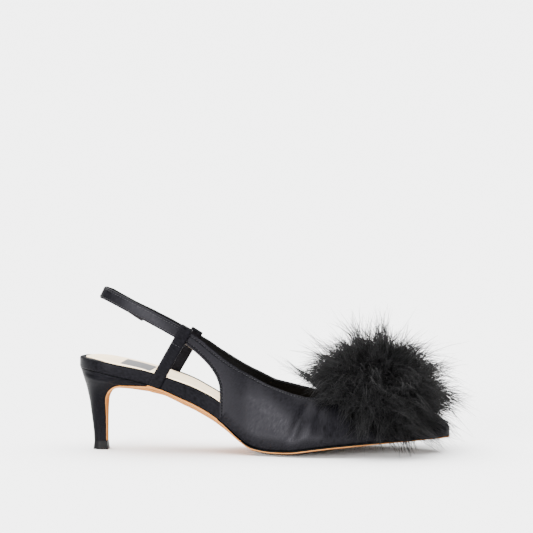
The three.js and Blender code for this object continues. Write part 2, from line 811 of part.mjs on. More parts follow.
// Riser: a strap up from the sole's edge, folded into a loop round the wing's end and stitched to itself
function riser(side) {
  const { centre, foot, low, top } = loopPlace(side);
  const flat = centre.clone().setY(0);
  const way = flat.clone().sub(foot).normalize();
  const wide = new THREE.Vector3(way.z, 0, -way.x);
  const reach = flat.distanceTo(foot);
  const slotHalf = top.distanceTo(low) / 2 + LOOP_ROOM;
  const slotWidth = UPPER_WALL + 2 * LOOP_SLACK;
  const slotLow = reach - slotHalf;
  const slotTop = reach + slotHalf;
  const wall = RISER_WALL;
  const soft = wall * FOLD_SOFTNESS;
  const close = wall * (1 + FOLD_SLOPE);
  const open = wall * (1 - FOLD_SLOPE);
  const outline = new THREE.Shape(dividedOutline([
    [-wall, 0],
    [0, 0],
    [0, slotLow - TURN_IN],
    [wall, slotLow - TURN_IN],
    [wall, slotLow - wall - close],
    [slotWidth + wall, slotLow - wall],
    [slotWidth + wall, slotTop + soft],
    [slotWidth + wall - soft, slotTop + wall],
    [-wall + soft, slotTop + wall],
    [-wall, slotTop + soft],
  ]));
  outline.holes.push(new THREE.Path(dividedOutline([
    [0, slotLow - wall],
    [0, slotTop],
    [slotWidth, slotTop],
    [slotWidth, slotLow - open],
  ])));
  const geometry = new THREE.ExtrudeGeometry(outline, { depth: RISER_WIDTH, bevelEnabled: false });
  const footSide = halfWidth(foot.x, boardInset(foot.x)) + FACET_GAP + side.sign * middle(foot.x);
  const loopSide = Math.abs(centre.y) + UPPER_WALL / 2 + LOOP_SLACK;
  const wingLean = (Math.abs(top.y) - Math.abs(low.y)) / top.distanceTo(low);
  const sideAt = (s) => {
    const straight = loopSide + wingLean * (s - reach);
    return THREE.MathUtils.lerp(footSide, straight, smoothStep(0.3, 0.84, s / reach));
  };
  const soleSlope = (feather(foot.x + 1) - feather(foot.x - 1)) / 2;
  const facets = new Facets();
  const corners = [];
  const position = geometry.attributes.position;
  for (let k = 0; k < position.count; k += 1) {
    const t = position.getX(k);
    const s = position.getY(k);
    const w = position.getZ(k) - RISER_WIDTH / 2;
    const level = 1 - Math.min(1, s / slotLow);
    const shear = w * level * (soleSlope * wide.x - wide.z) * way.z;
    const point = foot.clone().addScaledVector(way, s + shear).addScaledVector(wide, w);
    point.y = side.sign * (sideAt(s) - t);
    corners.push(point);
  }
  for (let k = 0; k < corners.length; k += 3) facets.triangle(...corners.slice(k, k + 3));
  return facets.geometry();
}

// A fixed number between 0 and 1 for each lock
function scatter(k) {
  const wave = Math.sin(k * 12.9898 + 4.1) * 43758.5453;
  return wave - Math.floor(wave);
}

// Pompom: an egg-shaped core with curved tapering locks all round, cut clear of the vamp
const POM_CENTRE = new THREE.Vector3(placeAlong(POM_ALONG), POM_TURN, POM_CENTRE_HEIGHT);

// The pompom is an egg above, and hangs lower and fuller on both sides of the toe than at the throat
function pomRadius(direction) {
  const front = smoothStep(-0.9, 0.5, direction.x);
  const upward = direction.z > 0;
  const drop = THREE.MathUtils.lerp(POM_BACK_DROP, POM_FRONT_DROP, front);
  const fullness = upward ? 2 : THREE.MathUtils.lerp(2, POM_SKIRT, front);
  const shares = [
    direction.x / (POM_LENGTH / 2),
    direction.y / (POM_WIDTH / 2),
    direction.z / (upward ? POM_RISE : drop),
  ];
  const sum = shares.reduce((total, share) => total + Math.abs(share) ** fullness, 0);
  return 1 / sum ** (1 / fullness);
}

const CORE_ROWS = 12;
const CORE_COLUMNS = 18;
const CORE_RUFFLE = 0.035;

function pomCore() {
  const grid = [];
  for (let i = 0; i <= CORE_ROWS; i += 1) {
    const polar = (Math.PI * i) / CORE_ROWS;
    const row = [];
    for (let j = 0; j <= CORE_COLUMNS; j += 1) {
      const turn = (2 * Math.PI * (j % CORE_COLUMNS)) / CORE_COLUMNS;
      const direction = new THREE.Vector3().setFromSphericalCoords(1, polar, turn);
      const waves = Math.sin(3 * turn + 2 * polar) + Math.sin(5 * polar + turn);
      const even = i === 0 || i === CORE_ROWS ? 1 : 1 + CORE_RUFFLE * waves;
      const point = new THREE.Vector3(direction.x, direction.z, direction.y);
      row.push(point.clone().multiplyScalar(pomRadius(point) * even).add(POM_CENTRE));
    }
    grid.push(row);
  }
  const facets = new Facets();
  facets.surface(grid, false);
  return facets.geometry();
}

// A lock is a bent cone: its root is inside the core, and it curls to one side as it tapers
function pomLock(direction, length, width, twist) {
  const root = direction.clone().multiplyScalar(pomRadius(direction) - LOCK_ROOT).add(POM_CENTRE);
  const aside = new THREE.Vector3(-direction.y, direction.x, -LOCK_DROOP).normalize();
  const bend = aside.applyAxisAngle(direction, twist);
  const slant = new THREE.Vector3(0.3, 0.2, 0.93);
  const sides = 4;
  const steps = 3;
  const grid = [];
  for (let i = 0; i <= steps; i += 1) {
    const t = i / steps;
    const centre = root.clone()
      .addScaledVector(direction, (length + LOCK_ROOT) * t)
      .addScaledVector(bend, length * LOCK_CURL * t * t);
    const way = direction.clone().addScaledVector(bend, 2 * LOCK_CURL * t).normalize();
    const first = new THREE.Vector3().crossVectors(way, slant).normalize();
    const second = new THREE.Vector3().crossVectors(way, first);
    const radius = (width / 2) * (1 - t) ** LOCK_TAPER;
    const ring = [];
    for (let j = 0; j <= sides; j += 1) {
      const turn = (2 * Math.PI * (j % sides)) / sides;
      const point = centre.clone()
        .addScaledVector(first, radius * Math.cos(turn))
        .addScaledVector(second, radius * Math.sin(turn));
      point.z = Math.max(LOCK_FLOOR, point.z);
      ring.push(point);
    }
    grid.push(ring);
  }
  const facets = new Facets();
  facets.surface(grid, false);
  for (let j = 0; j < sides; j += 1) facets.triangle(root, grid[0][j], grid[0][j + 1]);
  return facets.geometry();
}

// The room that the forepart takes up, with a clearance, from the ridge down to the floor
function forepartBlock() {
  const [lateral, medial] = SIDES;
  const half = (line, side) => {
    const ends = wallLine(line, side);
    const row = upperRow(line, side, -GAP);
    return ends.topArc < 1 ? [...row, lastPoint(ends.topX, 1, side.sign, -GAP)] : [...row, lastOf(row)];
  };
  const lines = UPPER_ROWS.filter((line) => line >= WAIST_LINE);
  const top = lines.map((line) => [...half(line, lateral), ...half(line, medial).reverse().slice(1)]);
  const bottom = top.map((row) => row.map((point) => new THREE.Vector3(point.x, point.y, -1)));
  return slab(top, bottom);
}

const LOWEST_LOCK = 0.74 * Math.PI;

function pompom() {
  const parts = [solidOf(pomCore())];
  let k = 0;
  for (let row = 1; row < LOCK_ROWS; row += 1) {
    const polar = (LOWEST_LOCK * row) / LOCK_ROWS;
    const count = Math.round(LOCKS_ROUND * Math.sin(polar));
    for (let j = 0; j < count; j += 1) {
      k += 1;
      const turn = (2 * Math.PI * (j + 0.5 * (row % 2) + 0.5 * scatter(k))) / count;
      const direction = new THREE.Vector3(
        Math.sin(polar) * Math.cos(turn),
        Math.sin(polar) * Math.sin(turn),
        Math.cos(polar),
      );
      const length = LOCK_LENGTH * (0.55 + 0.6 * scatter(k + 200));
      const width = LOCK_WIDTH * (0.8 + 0.5 * scatter(k + 400));
      parts.push(solidOf(pomLock(direction, length, width, 5 * scatter(k + 600))));
    }
  }
  const whole = wasm.Manifold.union(parts);
  return geometryOf(largestBody(whole.subtract(solidOf(forepartBlock()))));
}

// A lock that the vamp cuts through leaves a loose tip, which falls away
function largestBody(solid) {
  const bodies = solid.decompose();
  return bodies.reduce((best, body) => (body.volume() > best.volume() ? body : best));
}

const satin = new THREE.MeshStandardMaterial({ color: 0x17171a, roughness: 0.45, metalness: 0 });
const tanLeather = new THREE.MeshStandardMaterial({ color: 0xc99a6b, roughness: 0.5, metalness: 0 });
const creamLeather = new THREE.MeshStandardMaterial({ color: 0xe9dfcd, roughness: 0.6, metalness: 0 });
const hardRubber = new THREE.MeshStandardMaterial({ color: 0x1f1f20, roughness: 0.6, metalness: 0 });
const feathers = new THREE.MeshStandardMaterial({ color: 0x0d0d0e, roughness: 0.9, metalness: 0 });

const shoe = new THREE.Group();

function addPart(name, geometry, material) {
  const mesh = new THREE.Mesh(geometry, material);
  mesh.name = name;
  shoe.add(mesh);
}

addPart('top_piece', topPiece(), hardRubber);
addPart('heel', heel(), satin);
addPart('outsole', outsole(), tanLeather);
addPart('insole_board', insoleBoard(), satin);
addPart('sock_lining', sockLining(), creamLeather);
addPart('upper', upper(), satin);
addPart('sling_strap', slingStrap(), satin);
SIDES.forEach((side) => addPart(`riser_${side.name}`, riser(side), satin));
addPart('pompom', pompom(), feathers);

export default shoe;
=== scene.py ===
# Slingback pump with a kitten heel and a feather pompom, dressed for its picture.
# Shapes are worked out in millimetres, in the shoe's own frame, and become metres when a mesh is made:
# +X towards the toe, +Y towards the inner side of the foot, +Z up, origin at the heel tip on the floor.
import math

import bpy
import bmesh
import numpy as np
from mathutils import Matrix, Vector


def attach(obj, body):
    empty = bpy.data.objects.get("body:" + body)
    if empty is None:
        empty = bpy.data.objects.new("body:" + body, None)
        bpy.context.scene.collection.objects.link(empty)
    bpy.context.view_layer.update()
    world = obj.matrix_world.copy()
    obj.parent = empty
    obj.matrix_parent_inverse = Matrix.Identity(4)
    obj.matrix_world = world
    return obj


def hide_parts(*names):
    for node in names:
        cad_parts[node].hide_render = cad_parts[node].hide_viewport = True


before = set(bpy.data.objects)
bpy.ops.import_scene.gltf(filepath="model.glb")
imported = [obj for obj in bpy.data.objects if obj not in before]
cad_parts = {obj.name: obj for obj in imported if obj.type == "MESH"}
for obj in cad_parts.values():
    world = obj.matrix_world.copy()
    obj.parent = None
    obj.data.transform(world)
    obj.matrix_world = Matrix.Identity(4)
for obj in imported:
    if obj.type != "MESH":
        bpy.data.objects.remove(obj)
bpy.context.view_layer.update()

MM = 0.001
SEED = 20

# Camera
CAMERA_PLACE = (0.33873, -2.37423, 0.30968)
CAMERA_YAW = math.radians(5.5)
CAMERA_DOWN = math.radians(4.5)
PHOTO_SIDE = 533
FOCAL_PIXELS = 3636.4
SENSOR_WIDTH = 36
CLIP_NEAR = 0.1
CLIP_FAR = 400

# Driving sizes of the last
LENGTH = 244.5
BACK_REACH = 13.8
BALL_WIDTH = 76
HEEL_HEIGHT = 55
TOE_SPRING = 7.7
INSTEP = 34.6
WING_HEIGHT = 45
HEEL_ROUND = 26
TOE_ROUND = 7
SIDE_FULLNESS = 0.88
BALL_FEATHER = 4.1
TIP_X = LENGTH - BACK_REACH

# Thickness of each layer, and the clearance between neighbours
GAP = 0.3
SIDE_GAP = 1.5 * GAP
UPPER_WALL = 1.6
SOCK_THICKNESS = 0.6
SOCK_INSET = 0.5
SOLE_EDGE = 1.5
SOLE_CROWN = 2.9
SOLE_INSET = 0.4
FLAP_THICKNESS = 0.4
FLAP_INSET = 0.3
RAND_HEIGHT = 8.4
STRAP_WALL = 1.6
RISER_WALL = 1.3
VAMP_ALONG = 0.385
INSET_FROM_ALONG = 0.24
WIDENS_OVER = 0.055

# Heel
TOP_PIECE_HEIGHT = 5.7
TOP_PIECE_LENGTH = 10.3
TOP_PIECE_WIDTH = 10.2
HEEL_TIP_LENGTH = 8.2
HEEL_TIP_WIDTH = 8.6
HEEL_TIP_FRONT = 3.7
SEAT_WIDTH = 51.4
SEAT_INSET = 0.4
BREAST_BEND = 13
BEND_FROM = 0.44
BEND_TO = 0.78
LIP_ALONG = 0.193
LIP_EDGE = 0.8

# Straps
STRAP_WIDTH = 8.1
RISER_WIDTH = 8.2
SLING_TOP = 104.3
SLING_BACK = 15.5
SLING_LEAN = math.radians(26)
LOOP_SLACK = 0.5
LOOP_ROOM = 1
TURN_IN = 6.5

# Pompom
POM_LENGTH = 82
POM_WIDTH = 84
POM_RISE = 28
POM_BACK_DROP = 12
POM_FRONT_DROP = 31
POM_SKIRT = 3.2
POM_ALONG = 0.795
POM_CENTRE_HEIGHT = 41
POM_TURN = 3


def named_rows(names, rows):
    return {name: np.array([row[k] for row in rows], float) for k, name in enumerate(names)}


# Height of the feather line, where sole and upper meet: the heel's share and the toe's share of the rise
FEATHER = named_rows(["along", "heel", "toe"], [
    [0.0, 1.0, 0],
    [0.041, 0.982, 0],
    [0.122, 0.904, 0],
    [0.176, 0.845, 0],
    [0.225, 0.774, 0],
    [0.257, 0.723, 0],
    [0.284, 0.676, 0],
    [0.311, 0.623, 0],
    [0.338, 0.556, 0],
    [0.365, 0.479, 0],
    [0.392, 0.387, 0],
    [0.418, 0.283, 0],
    [0.445, 0.167, 0],
    [0.472, 0.066, 0],
    [0.498, 0.018, 0],
    [0.53, 0.002, 0],
    [0.556, 0, 0],
    [0.583, 0, 0.03],
    [0.61, 0, 0.143],
    [0.663, 0, 0.39],
    [0.717, 0, 0.571],
    [0.77, 0, 0.714],
    [0.874, 0, 0.87],
    [1.0, 0, 1.0],
])

# Outline of the shoe seen from above: its middle line and half width, as shares of the ball width
OUTLINE = named_rows(["along", "middle", "half"], [
    [0.0, 0, 0.334],
    [0.1, 0, 0.339],
    [0.17, 0, 0.342],
    [0.249, -0.003, 0.342],
    [0.35, -0.016, 0.336],
    [0.449, -0.029, 0.347],
    [0.549, -0.029, 0.411],
    [0.619, -0.016, 0.47],
    [0.678, 0.007, 0.5],
    [0.739, 0.03, 0.497],
    [0.799, 0.049, 0.451],
    [0.858, 0.066, 0.368],
    [0.909, 0.076, 0.28],
    [0.948, 0.084, 0.2],
    [0.979, 0.09, 0.13],
    [1.0, 0.092, 0.092],
])

# Height of the last's ridge above the feather line, as a share of the instep
RIDGE = named_rows(["along", "rise"], [
    [0.26, 2.78],
    [0.302, 2.69],
    [0.384, 2.51],
    [0.465, 2.28],
    [0.506, 2.02],
    [0.547, 1.73],
    [0.588, 1.445],
    [0.629, 1.185],
    [0.67, 1.0],
    [0.711, 0.89],
    [0.752, 0.8],
    [0.793, 0.725],
    [0.834, 0.65],
    [0.874, 0.564],
    [0.915, 0.465],
    [0.956, 0.361],
    [0.969, 0.322],
    [0.985, 0.263],
    [0.9955, 0.195],
    [1.0, 0.13],
])

# Ahead of the throat each wall line starts on the feather line and ends over the ridge
OVER_RIDGE = 1.2
VAMP_LINES = [
    (0.666, 0.67), (0.703, 0.699), (0.744, 0.739), (0.793, 0.789), (0.842, 0.838),
    (0.891, 0.887), (0.936, 0.934), (0.971, 0.971), (0.991, 0.991), (1.0, 1.0),
]

# Lines up the wall of the upper, from its lower edge to its top edge or the ridge.
# Rises are above the feather line; drop and shift lower the inner wing and move it forward.
WALL_LINES = named_rows(
    ["low_along", "low_rise", "low_drop", "top_along", "top_rise", "top_drop", "shift"],
    [
        [0.2838, 0.815, 0.118, 0.2982, 1.0, 0.118, 0.006],
        [0.3039, 0.782, 0.112, 0.3182, 0.978, 0.112, 0.004],
        [0.3264, 0.744, 0.098, 0.3407, 0.964, 0.102, 0.002],
        [0.3489, 0.7, 0.076, 0.3652, 0.933, 0.082, 0],
        [0.3681, 0.644, 0.056, 0.3898, 0.922, 0.06, 0],
        [0.382, 0.571, 0.035, 0.4164, 0.936, 0.042, 0],
        [0.3902, 0.469, 0.02, 0.443, 0.971, 0.03, 0],
        [0.3922, 0.329, 0.01, 0.4695, 1.007, 0.022, 0],
        [0.3918, 0.16, 0, 0.4961, 0.991, 0.018, 0],
        [0.3914, 0, 0, 0.5227, 0.938, 0.018, 0],
        [0.437, 0, 0, 0.5513, 0.884, 0.0, 0],
        [0.486, 0, 0, 0.581, 0.822, -0.018, 0],
        [0.535, 0, 0, 0.6127, 0.753, -0.024, 0],
        [0.584, 0, 0, 0.6421, 0.709, -0.018, 0],
        [0.629, 0, 0, 0.6626, 0.742, 0, 0],
    ] + [[low, 0, 0, top, OVER_RIDGE, 0, 0] for low, top in VAMP_LINES],
)
LAST_LINE = 24
THROAT_LINE = 15
WAIST_LINE = 9

# Thickness of insole and rand, and how much lower its top is on the inner side, in rand heights
BOARD = named_rows(["along", "rise", "drop"], [
    [0.0, 0.8, 0.16],
    [0.041, 0.915, 0.17],
    [0.122, 0.965, 0.18],
    [0.217, 1.065, 0.24],
    [0.284, 1.095, 0.26],
    [0.338, 1.185, 0.38],
    [0.39, 1.295, 0.45],
    [0.445, 1.0, 0.28],
    [0.5, 0.62, 0.1],
    [0.556, 0.42, 0],
    [0.7, 0.37, 0],
    [1.0, 0.33, 0],
])

# Sag of the sole at the waist, in millimetres
WAIST_SAG = named_rows(["along", "sag"], [
    [0.24, 0],
    [0.3, 1.3],
    [0.38, 1.4],
    [0.43, 1.7],
    [0.462, 1.1],
    [0.495, 0],
])

# Crown of the outsole, as a share of the sole's crown at the ball
CROWN = named_rows(["along", "crown"], [
    [0.12, 0.35],
    [0.15, 0.8],
    [0.2, 1.45],
    [0.28, 1.7],
    [0.34, 1.83],
    [0.39, 1.72],
    [0.44, 1.2],
    [0.47, 1.1],
    [0.53, 1.25],
    [0.61, 1.15],
    [0.7, 0.75],
    [0.87, 0.5],
    [1.0, 0.2],
])

# Sections of the heel from the tip up, by their place on the path along the breast
HEEL_SECTIONS = named_rows(["back", "rise", "path", "half"], [
    [0.33, 0.1036, 0.0, 0.167],
    [0.355, 0.209, 0.1, 0.171],
    [0.406, 0.327, 0.21, 0.195],
    [0.471, 0.455, 0.33, 0.245],
    [0.529, 0.573, 0.44, 0.335],
    [0.609, 0.682, 0.54, 0.467],
    [0.696, 0.782, 0.63, 0.63],
    [0.79, 0.86, 0.71, 0.778],
    [0.862, 0.92, 0.8, 0.89],
    [0.935, 0.971, 1.0, 0.975],
])

# The sling's way from a loop to the back: shares of the reach back, the climb and the spread
SLING = named_rows(["along", "outer", "inner", "spread"], [
    [0.0, 0, 0, 1.0],
    [0.1, 0.12, 0.1, 0.996],
    [0.2, 0.237, 0.2, 0.982],
    [0.3, 0.348, 0.298, 0.957],
    [0.4, 0.456, 0.39, 0.918],
    [0.5, 0.56, 0.485, 0.866],
    [0.6, 0.662, 0.575, 0.802],
    [0.7, 0.764, 0.67, 0.722],
    [0.8, 0.861, 0.78, 0.615],
    [0.88, 0.936, 0.87, 0.515],
    [0.94, 0.982, 0.94, 0.4],
    [0.97, 0.995, 0.965, 0.3],
    [0.99, 0.999, 0.99, 0.18],
    [1.0, 1.0, 1.0, 0],
])

LATERAL = {"name": "lateral", "sign": -1, "climb": "outer", "riser_along": 0.2135}
MEDIAL = {"name": "medial", "sign": 1, "climb": "inner", "riser_along": 0.226}
SIDES = [LATERAL, MEDIAL]


# A smooth curve through rows that never overshoots them, read at one or many places
def curve_through(places, values, at):
    at = np.clip(np.asarray(at, float), places[0], places[-1])
    k = np.clip(np.searchsorted(places, at, side="left") - 1, 0, len(places) - 2)
    slopes = np.diff(values) / np.diff(places)
    product = slopes[:-1] * slopes[1:]
    same_way = product > 0
    total = np.where(same_way, slopes[:-1] + slopes[1:], 1)
    inner = np.where(same_way, 2 * product / total, 0)
    tangents = np.concatenate([slopes[:1], inner, slopes[-1:]])
    span = places[k + 1] - places[k]
    t = (at - places[k]) / span
    rise = values[k + 1] - values[k]
    start = tangents[k] * span
    end = tangents[k + 1] * span
    bend = start + end - 2 * rise
    return values[k] + t * (start + t * (rise - start - bend + t * bend))


def column(table, name, at):
    return curve_through(table["along"], table[name], at)


def along(x):
    return (x + BACK_REACH) / LENGTH


def place_along(share):
    return share * LENGTH - BACK_REACH


def smooth_step(low, high, at):
    t = np.clip((np.asarray(at, float) - low) / (high - low), 0, 1)
    return t * t * (3 - 2 * t)


def mix(a, b, t):
    return a + (b - a) * t


def stack(x, y, z):
    return np.stack(np.broadcast_arrays(x, y, z), axis=-1)


# Times a vector, this leaves out its sideways part
FLAT = np.array([1, 0, 1])


def unit(vectors):
    return vectors / np.maximum(np.linalg.norm(vectors, axis=-1, keepdims=True), 1e-12)


# Shape of the last
def feather(x):
    rise = (HEEL_HEIGHT - BALL_FEATHER) * column(FEATHER, "heel", along(x))
    return BALL_FEATHER + rise + TOE_SPRING * column(FEATHER, "toe", along(x))


def middle(x):
    return BALL_WIDTH * column(OUTLINE, "middle", along(x))


def ridge(x):
    return INSTEP * column(RIDGE, "rise", along(x))


def full_half(x):
    return BALL_WIDTH * column(OUTLINE, "half", along(x))


def end_round(distance, radius):
    short = 1 - np.clip(distance, 0, radius) / radius
    return np.sqrt(np.clip(1 - short * short, 0, 1))


def half_width(x, inset=0.0):
    back = end_round(x + BACK_REACH - inset, HEEL_ROUND - inset)
    toe = end_round(TIP_X - inset - x, TOE_ROUND - inset)
    return (full_half(x) - inset) * back * toe


def near_toe(x):
    return smooth_step(TIP_X - 3 * TOE_ROUND, TIP_X, x)


def last_point(x, arc, sign, inset):
    station = x - inset * near_toe(x)
    angle = arc * math.pi / 2
    half = half_width(station, inset) * np.clip(np.cos(angle), 0, 1) ** SIDE_FULLNESS
    crown = ridge(x) - inset
    return stack(station, middle(x) + sign * half, feather(station) + crown * np.sin(angle))


def arc_at_rise(x, rise):
    return np.arcsin(np.clip(rise / ridge(x), 0, 1)) / (math.pi / 2)


def wall_line(line, side):
    inner = 1 if side["sign"] > 0 else 0
    table = WALL_LINES
    low_x = place_along(table["low_along"] + inner * table["shift"])
    top_x = place_along(table["top_along"] + inner * table["shift"])
    low_arc = arc_at_rise(low_x, WING_HEIGHT * (table["low_rise"] - inner * table["low_drop"]))
    top_arc = arc_at_rise(top_x, WING_HEIGHT * (table["top_rise"] - inner * table["top_drop"]))
    places = np.arange(LAST_LINE + 1, dtype=float)
    return [curve_through(places, values, line) for values in (low_x, low_arc, top_x, top_arc)]


def upper_point(line, share, side, inset):
    low_x, low_arc, top_x, top_arc = wall_line(line, side)
    return last_point(mix(low_x, top_x, share), mix(low_arc, top_arc, share), side["sign"], inset)


# How much lower sole and insole lie at the waist than the lower edge of the upper
def waist_sag(x):
    return column(WAIST_SAG, "sag", along(x))


def board_inset(x):
    return (UPPER_WALL + GAP) * smooth_step(place_along(INSET_FROM_ALONG), place_along(VAMP_ALONG), x)


def board_top(x, y):
    across = (y - middle(x)) / full_half(x)
    drop = column(BOARD, "drop", along(x)) * (across + 1) / 2
    return feather(x) + RAND_HEIGHT * (column(BOARD, "rise", along(x)) - drop)


# Half the room between the upper's walls at one height, less the clearance
def room_in_upper(x, height):
    ahead = x + UPPER_WALL * near_toe(x)
    crown = ridge(ahead) - UPPER_WALL
    lean = np.clip(1 - ((height - feather(x)) / crown) ** 2, 0, 1) ** (SIDE_FULLNESS / 2)
    return np.maximum(0, half_width(ahead, UPPER_WALL) * lean - SIDE_GAP)


def footbed_half(x, inset, height):
    free = half_width(x, board_inset(x) + inset)
    return np.where(x < place_along(VAMP_ALONG), free, np.minimum(free, room_in_upper(x, height)))


# Path up the breast of the heel, round its bend and forward under the lip
LIP_X = place_along(LIP_ALONG)
LIP_Z = float(feather(LIP_X)) - GAP - LIP_EDGE


def breast_path(share, out):
    share = np.asarray(share, float)
    bend_x = HEEL_TIP_FRONT + BREAST_BEND
    bend_z = LIP_Z - BREAST_BEND
    radius = BREAST_BEND - out
    turn = np.clip((share - BEND_FROM) / (BEND_TO - BEND_FROM), 0, 1) * math.pi / 2
    x = bend_x - radius * np.cos(turn)
    z = bend_z + radius * np.sin(turn)
    x = np.where(share < BEND_FROM, HEEL_TIP_FRONT + out, x)
    z = np.where(share < BEND_FROM, mix(TOP_PIECE_HEIGHT, bend_z, share / BEND_FROM), z)
    forward = mix(bend_x, LIP_X, (share - BEND_TO) / (1 - BEND_TO))
    x = np.where(share > BEND_TO, forward, x)
    z = np.where(share > BEND_TO, LIP_Z - out, z)
    return x, z, turn


def heel_column(name, share):
    return curve_through(HEEL_SECTIONS["path"], HEEL_SECTIONS[name], share)


# A mesh from grids of points, each with the place of its points on the cloth as UV, in metres
class Cloth:
    def __init__(self):
        self.points = []
        self.faces = []
        self.uvs = []
        self.slots = []
        self.count = 0

    def grid(self, points, turned=False, slot=0):
        rows, columns = points.shape[:2]
        across = np.linalg.norm(np.diff(points, axis=1), axis=-1).mean(axis=0)
        down = np.linalg.norm(np.diff(points, axis=0), axis=-1).mean(axis=1)
        u = np.concatenate([[0], np.cumsum(down)])
        v = np.concatenate([[0], np.cumsum(across)])
        uv = np.stack(np.meshgrid(u, v, indexing="ij"), axis=-1)
        index = self.count + np.arange(rows * columns).reshape(rows, columns)
        quads = [index[:-1, :-1], index[1:, :-1], index[1:, 1:], index[:-1, 1:]]
        if turned:
            quads.reverse()
        quads = np.stack(quads, axis=-1).reshape(-1, 4)
        self.points.append(points.reshape(-1, 3))
        self.uvs.append(uv.reshape(-1, 2))
        self.faces.append(quads)
        self.slots.append(np.full(len(quads), slot))
        self.count += rows * columns

    def piece(self, name, materials, slot_name, replaces=()):
        points = np.concatenate(self.points) * MM
        uvs = np.concatenate(self.uvs) * MM
        faces = np.concatenate(self.faces)
        slots = np.concatenate(self.slots)
        mesh = bpy.data.meshes.new(name)
        mesh.from_pydata(points.tolist(), [], faces.tolist())
        layer = mesh.uv_layers.new(name="cloth")
        layer.data.foreach_set("uv", uvs[faces.reshape(-1)].reshape(-1))
        mesh.polygons.foreach_set("material_index", slots)
        tidy_mesh(mesh)
        return finished_piece(name, mesh, materials, replaces)


# Points nearer to each other than this are joined, in metres
WELD = 0.000004


# Joins points that coincide, drops faces that have no area and turns every face outwards
def tidy_mesh(mesh):
    work = bmesh.new()
    work.from_mesh(mesh)
    bmesh.ops.remove_doubles(work, verts=work.verts, dist=WELD)
    bmesh.ops.dissolve_degenerate(work, edges=work.edges, dist=WELD)
    loose = [vert for vert in work.verts if not vert.link_faces]
    bmesh.ops.delete(work, geom=loose, context="VERTS")
    bmesh.ops.recalc_face_normals(work, faces=work.faces)
    if work.calc_volume(signed=True) < 0:
        bmesh.ops.reverse_faces(work, faces=work.faces)
    work.to_mesh(mesh)
    work.free()


def finished_piece(name, mesh, materials, replaces=()):
    piece = bpy.data.objects.new(name, mesh)
    bpy.context.scene.collection.objects.link(piece)
    for material in materials:
        mesh.materials.append(material)
    mesh.polygons.foreach_set("use_smooth", np.ones(len(mesh.polygons), bool))
    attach(piece, "root")
    if replaces:
        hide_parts(*replaces)
    return piece


# Rounds the edges that turn by more than an angle; the width is in millimetres
def bevelled(piece, width, angle, segments=3):
    soft = piece.modifiers.new("soft_edges", "BEVEL")
    soft.width = width * MM
    soft.segments = segments
    soft.limit_method = "ANGLE"
    soft.angle_limit = math.radians(angle)


# Materials
def new_material(name, colour, roughness, **sockets):
    material = bpy.data.materials.new(name)
    material.use_nodes = True
    shader = material.node_tree.nodes["Principled BSDF"]
    shader.inputs["Base Color"].default_value = (*colour, 1)
    shader.inputs["Roughness"].default_value = roughness
    for socket, value in sockets.items():
        shader.inputs[socket.replace("_", " ")].default_value = value
    return material


def add_node(material, kind, **values):
    node = material.node_tree.nodes.new(kind)
    for key, value in values.items():
        if hasattr(node, key):
            setattr(node, key, value)
        else:
            node.inputs[key.replace("_", " ")].default_value = value
    return node


def link(material, source, output, target, socket):
    material.node_tree.links.new(source.outputs[output], target.inputs[socket])


def mapped(material, scale, coordinates="UV"):
    place = add_node(material, "ShaderNodeTexCoord")
    mapping = add_node(material, "ShaderNodeMapping")
    mapping.inputs["Scale"].default_value = scale
    link(material, place, coordinates, mapping, "Vector")
    return mapping


def noise(material, scale, detail=2.0, coordinates="UV"):
    texture = add_node(material, "ShaderNodeTexNoise", Scale=1.0, Detail=detail)
    link(material, mapped(material, scale, coordinates), "Vector", texture, "Vector")
    return texture


# Most of a noise texture's values lie between these two
NOISE_LOW = 0.3
NOISE_HIGH = 0.7


# Two colours laid over each other by a texture
def varied_colour(material, texture, low, high, darker, lighter):
    ramp = add_node(material, "ShaderNodeValToRGB")
    ramp.color_ramp.elements[0].position = low
    ramp.color_ramp.elements[1].position = high
    ramp.color_ramp.elements[0].color = (*darker, 1)
    ramp.color_ramp.elements[1].color = (*lighter, 1)
    link(material, texture, "Fac", ramp, "Fac")
    link(material, ramp, "Color", material.node_tree.nodes["Principled BSDF"], "Base Color")


def varied_roughness(material, texture, smooth, rough):
    limits = {"From_Min": NOISE_LOW, "From_Max": NOISE_HIGH, "To_Min": smooth, "To_Max": rough}
    spread = add_node(material, "ShaderNodeMapRange", **limits)
    link(material, texture, "Fac", spread, "Value")
    link(material, spread, "Result", material.node_tree.nodes["Principled BSDF"], "Roughness")


# Reliefs stacked one on another: each is a texture, its strength and its depth in millimetres
def add_relief(material, reliefs):
    before = None
    for texture, strength, depth in reliefs:
        bump = add_node(material, "ShaderNodeBump", Strength=strength)
        bump.inputs["Distance"].default_value = depth * MM
        link(material, texture, "Fac", bump, "Height")
        if before:
            link(material, before, "Normal", bump, "Normal")
        before = bump
    link(material, before, "Normal", material.node_tree.nodes["Principled BSDF"], "Normal")


# A material with one fine grain: its scale, detail and coordinates, its strength and its depth
def grained(name, colour, roughness, gloss, scale, detail, coordinates, strength, depth):
    material = new_material(name, colour, roughness, Specular_IOR_Level=gloss)
    grain = noise(material, (scale, scale, scale), detail, coordinates)
    add_relief(material, [(grain, strength, depth)])
    return material


SATIN_BLACK = (0.0004, 0.0004, 0.0006)
SATIN_GREY = (0.0038, 0.0037, 0.0048)
SATIN_TINT = (0.93, 0.9, 1.0, 1.0)
SATIN_ROUGHNESS = 0.42


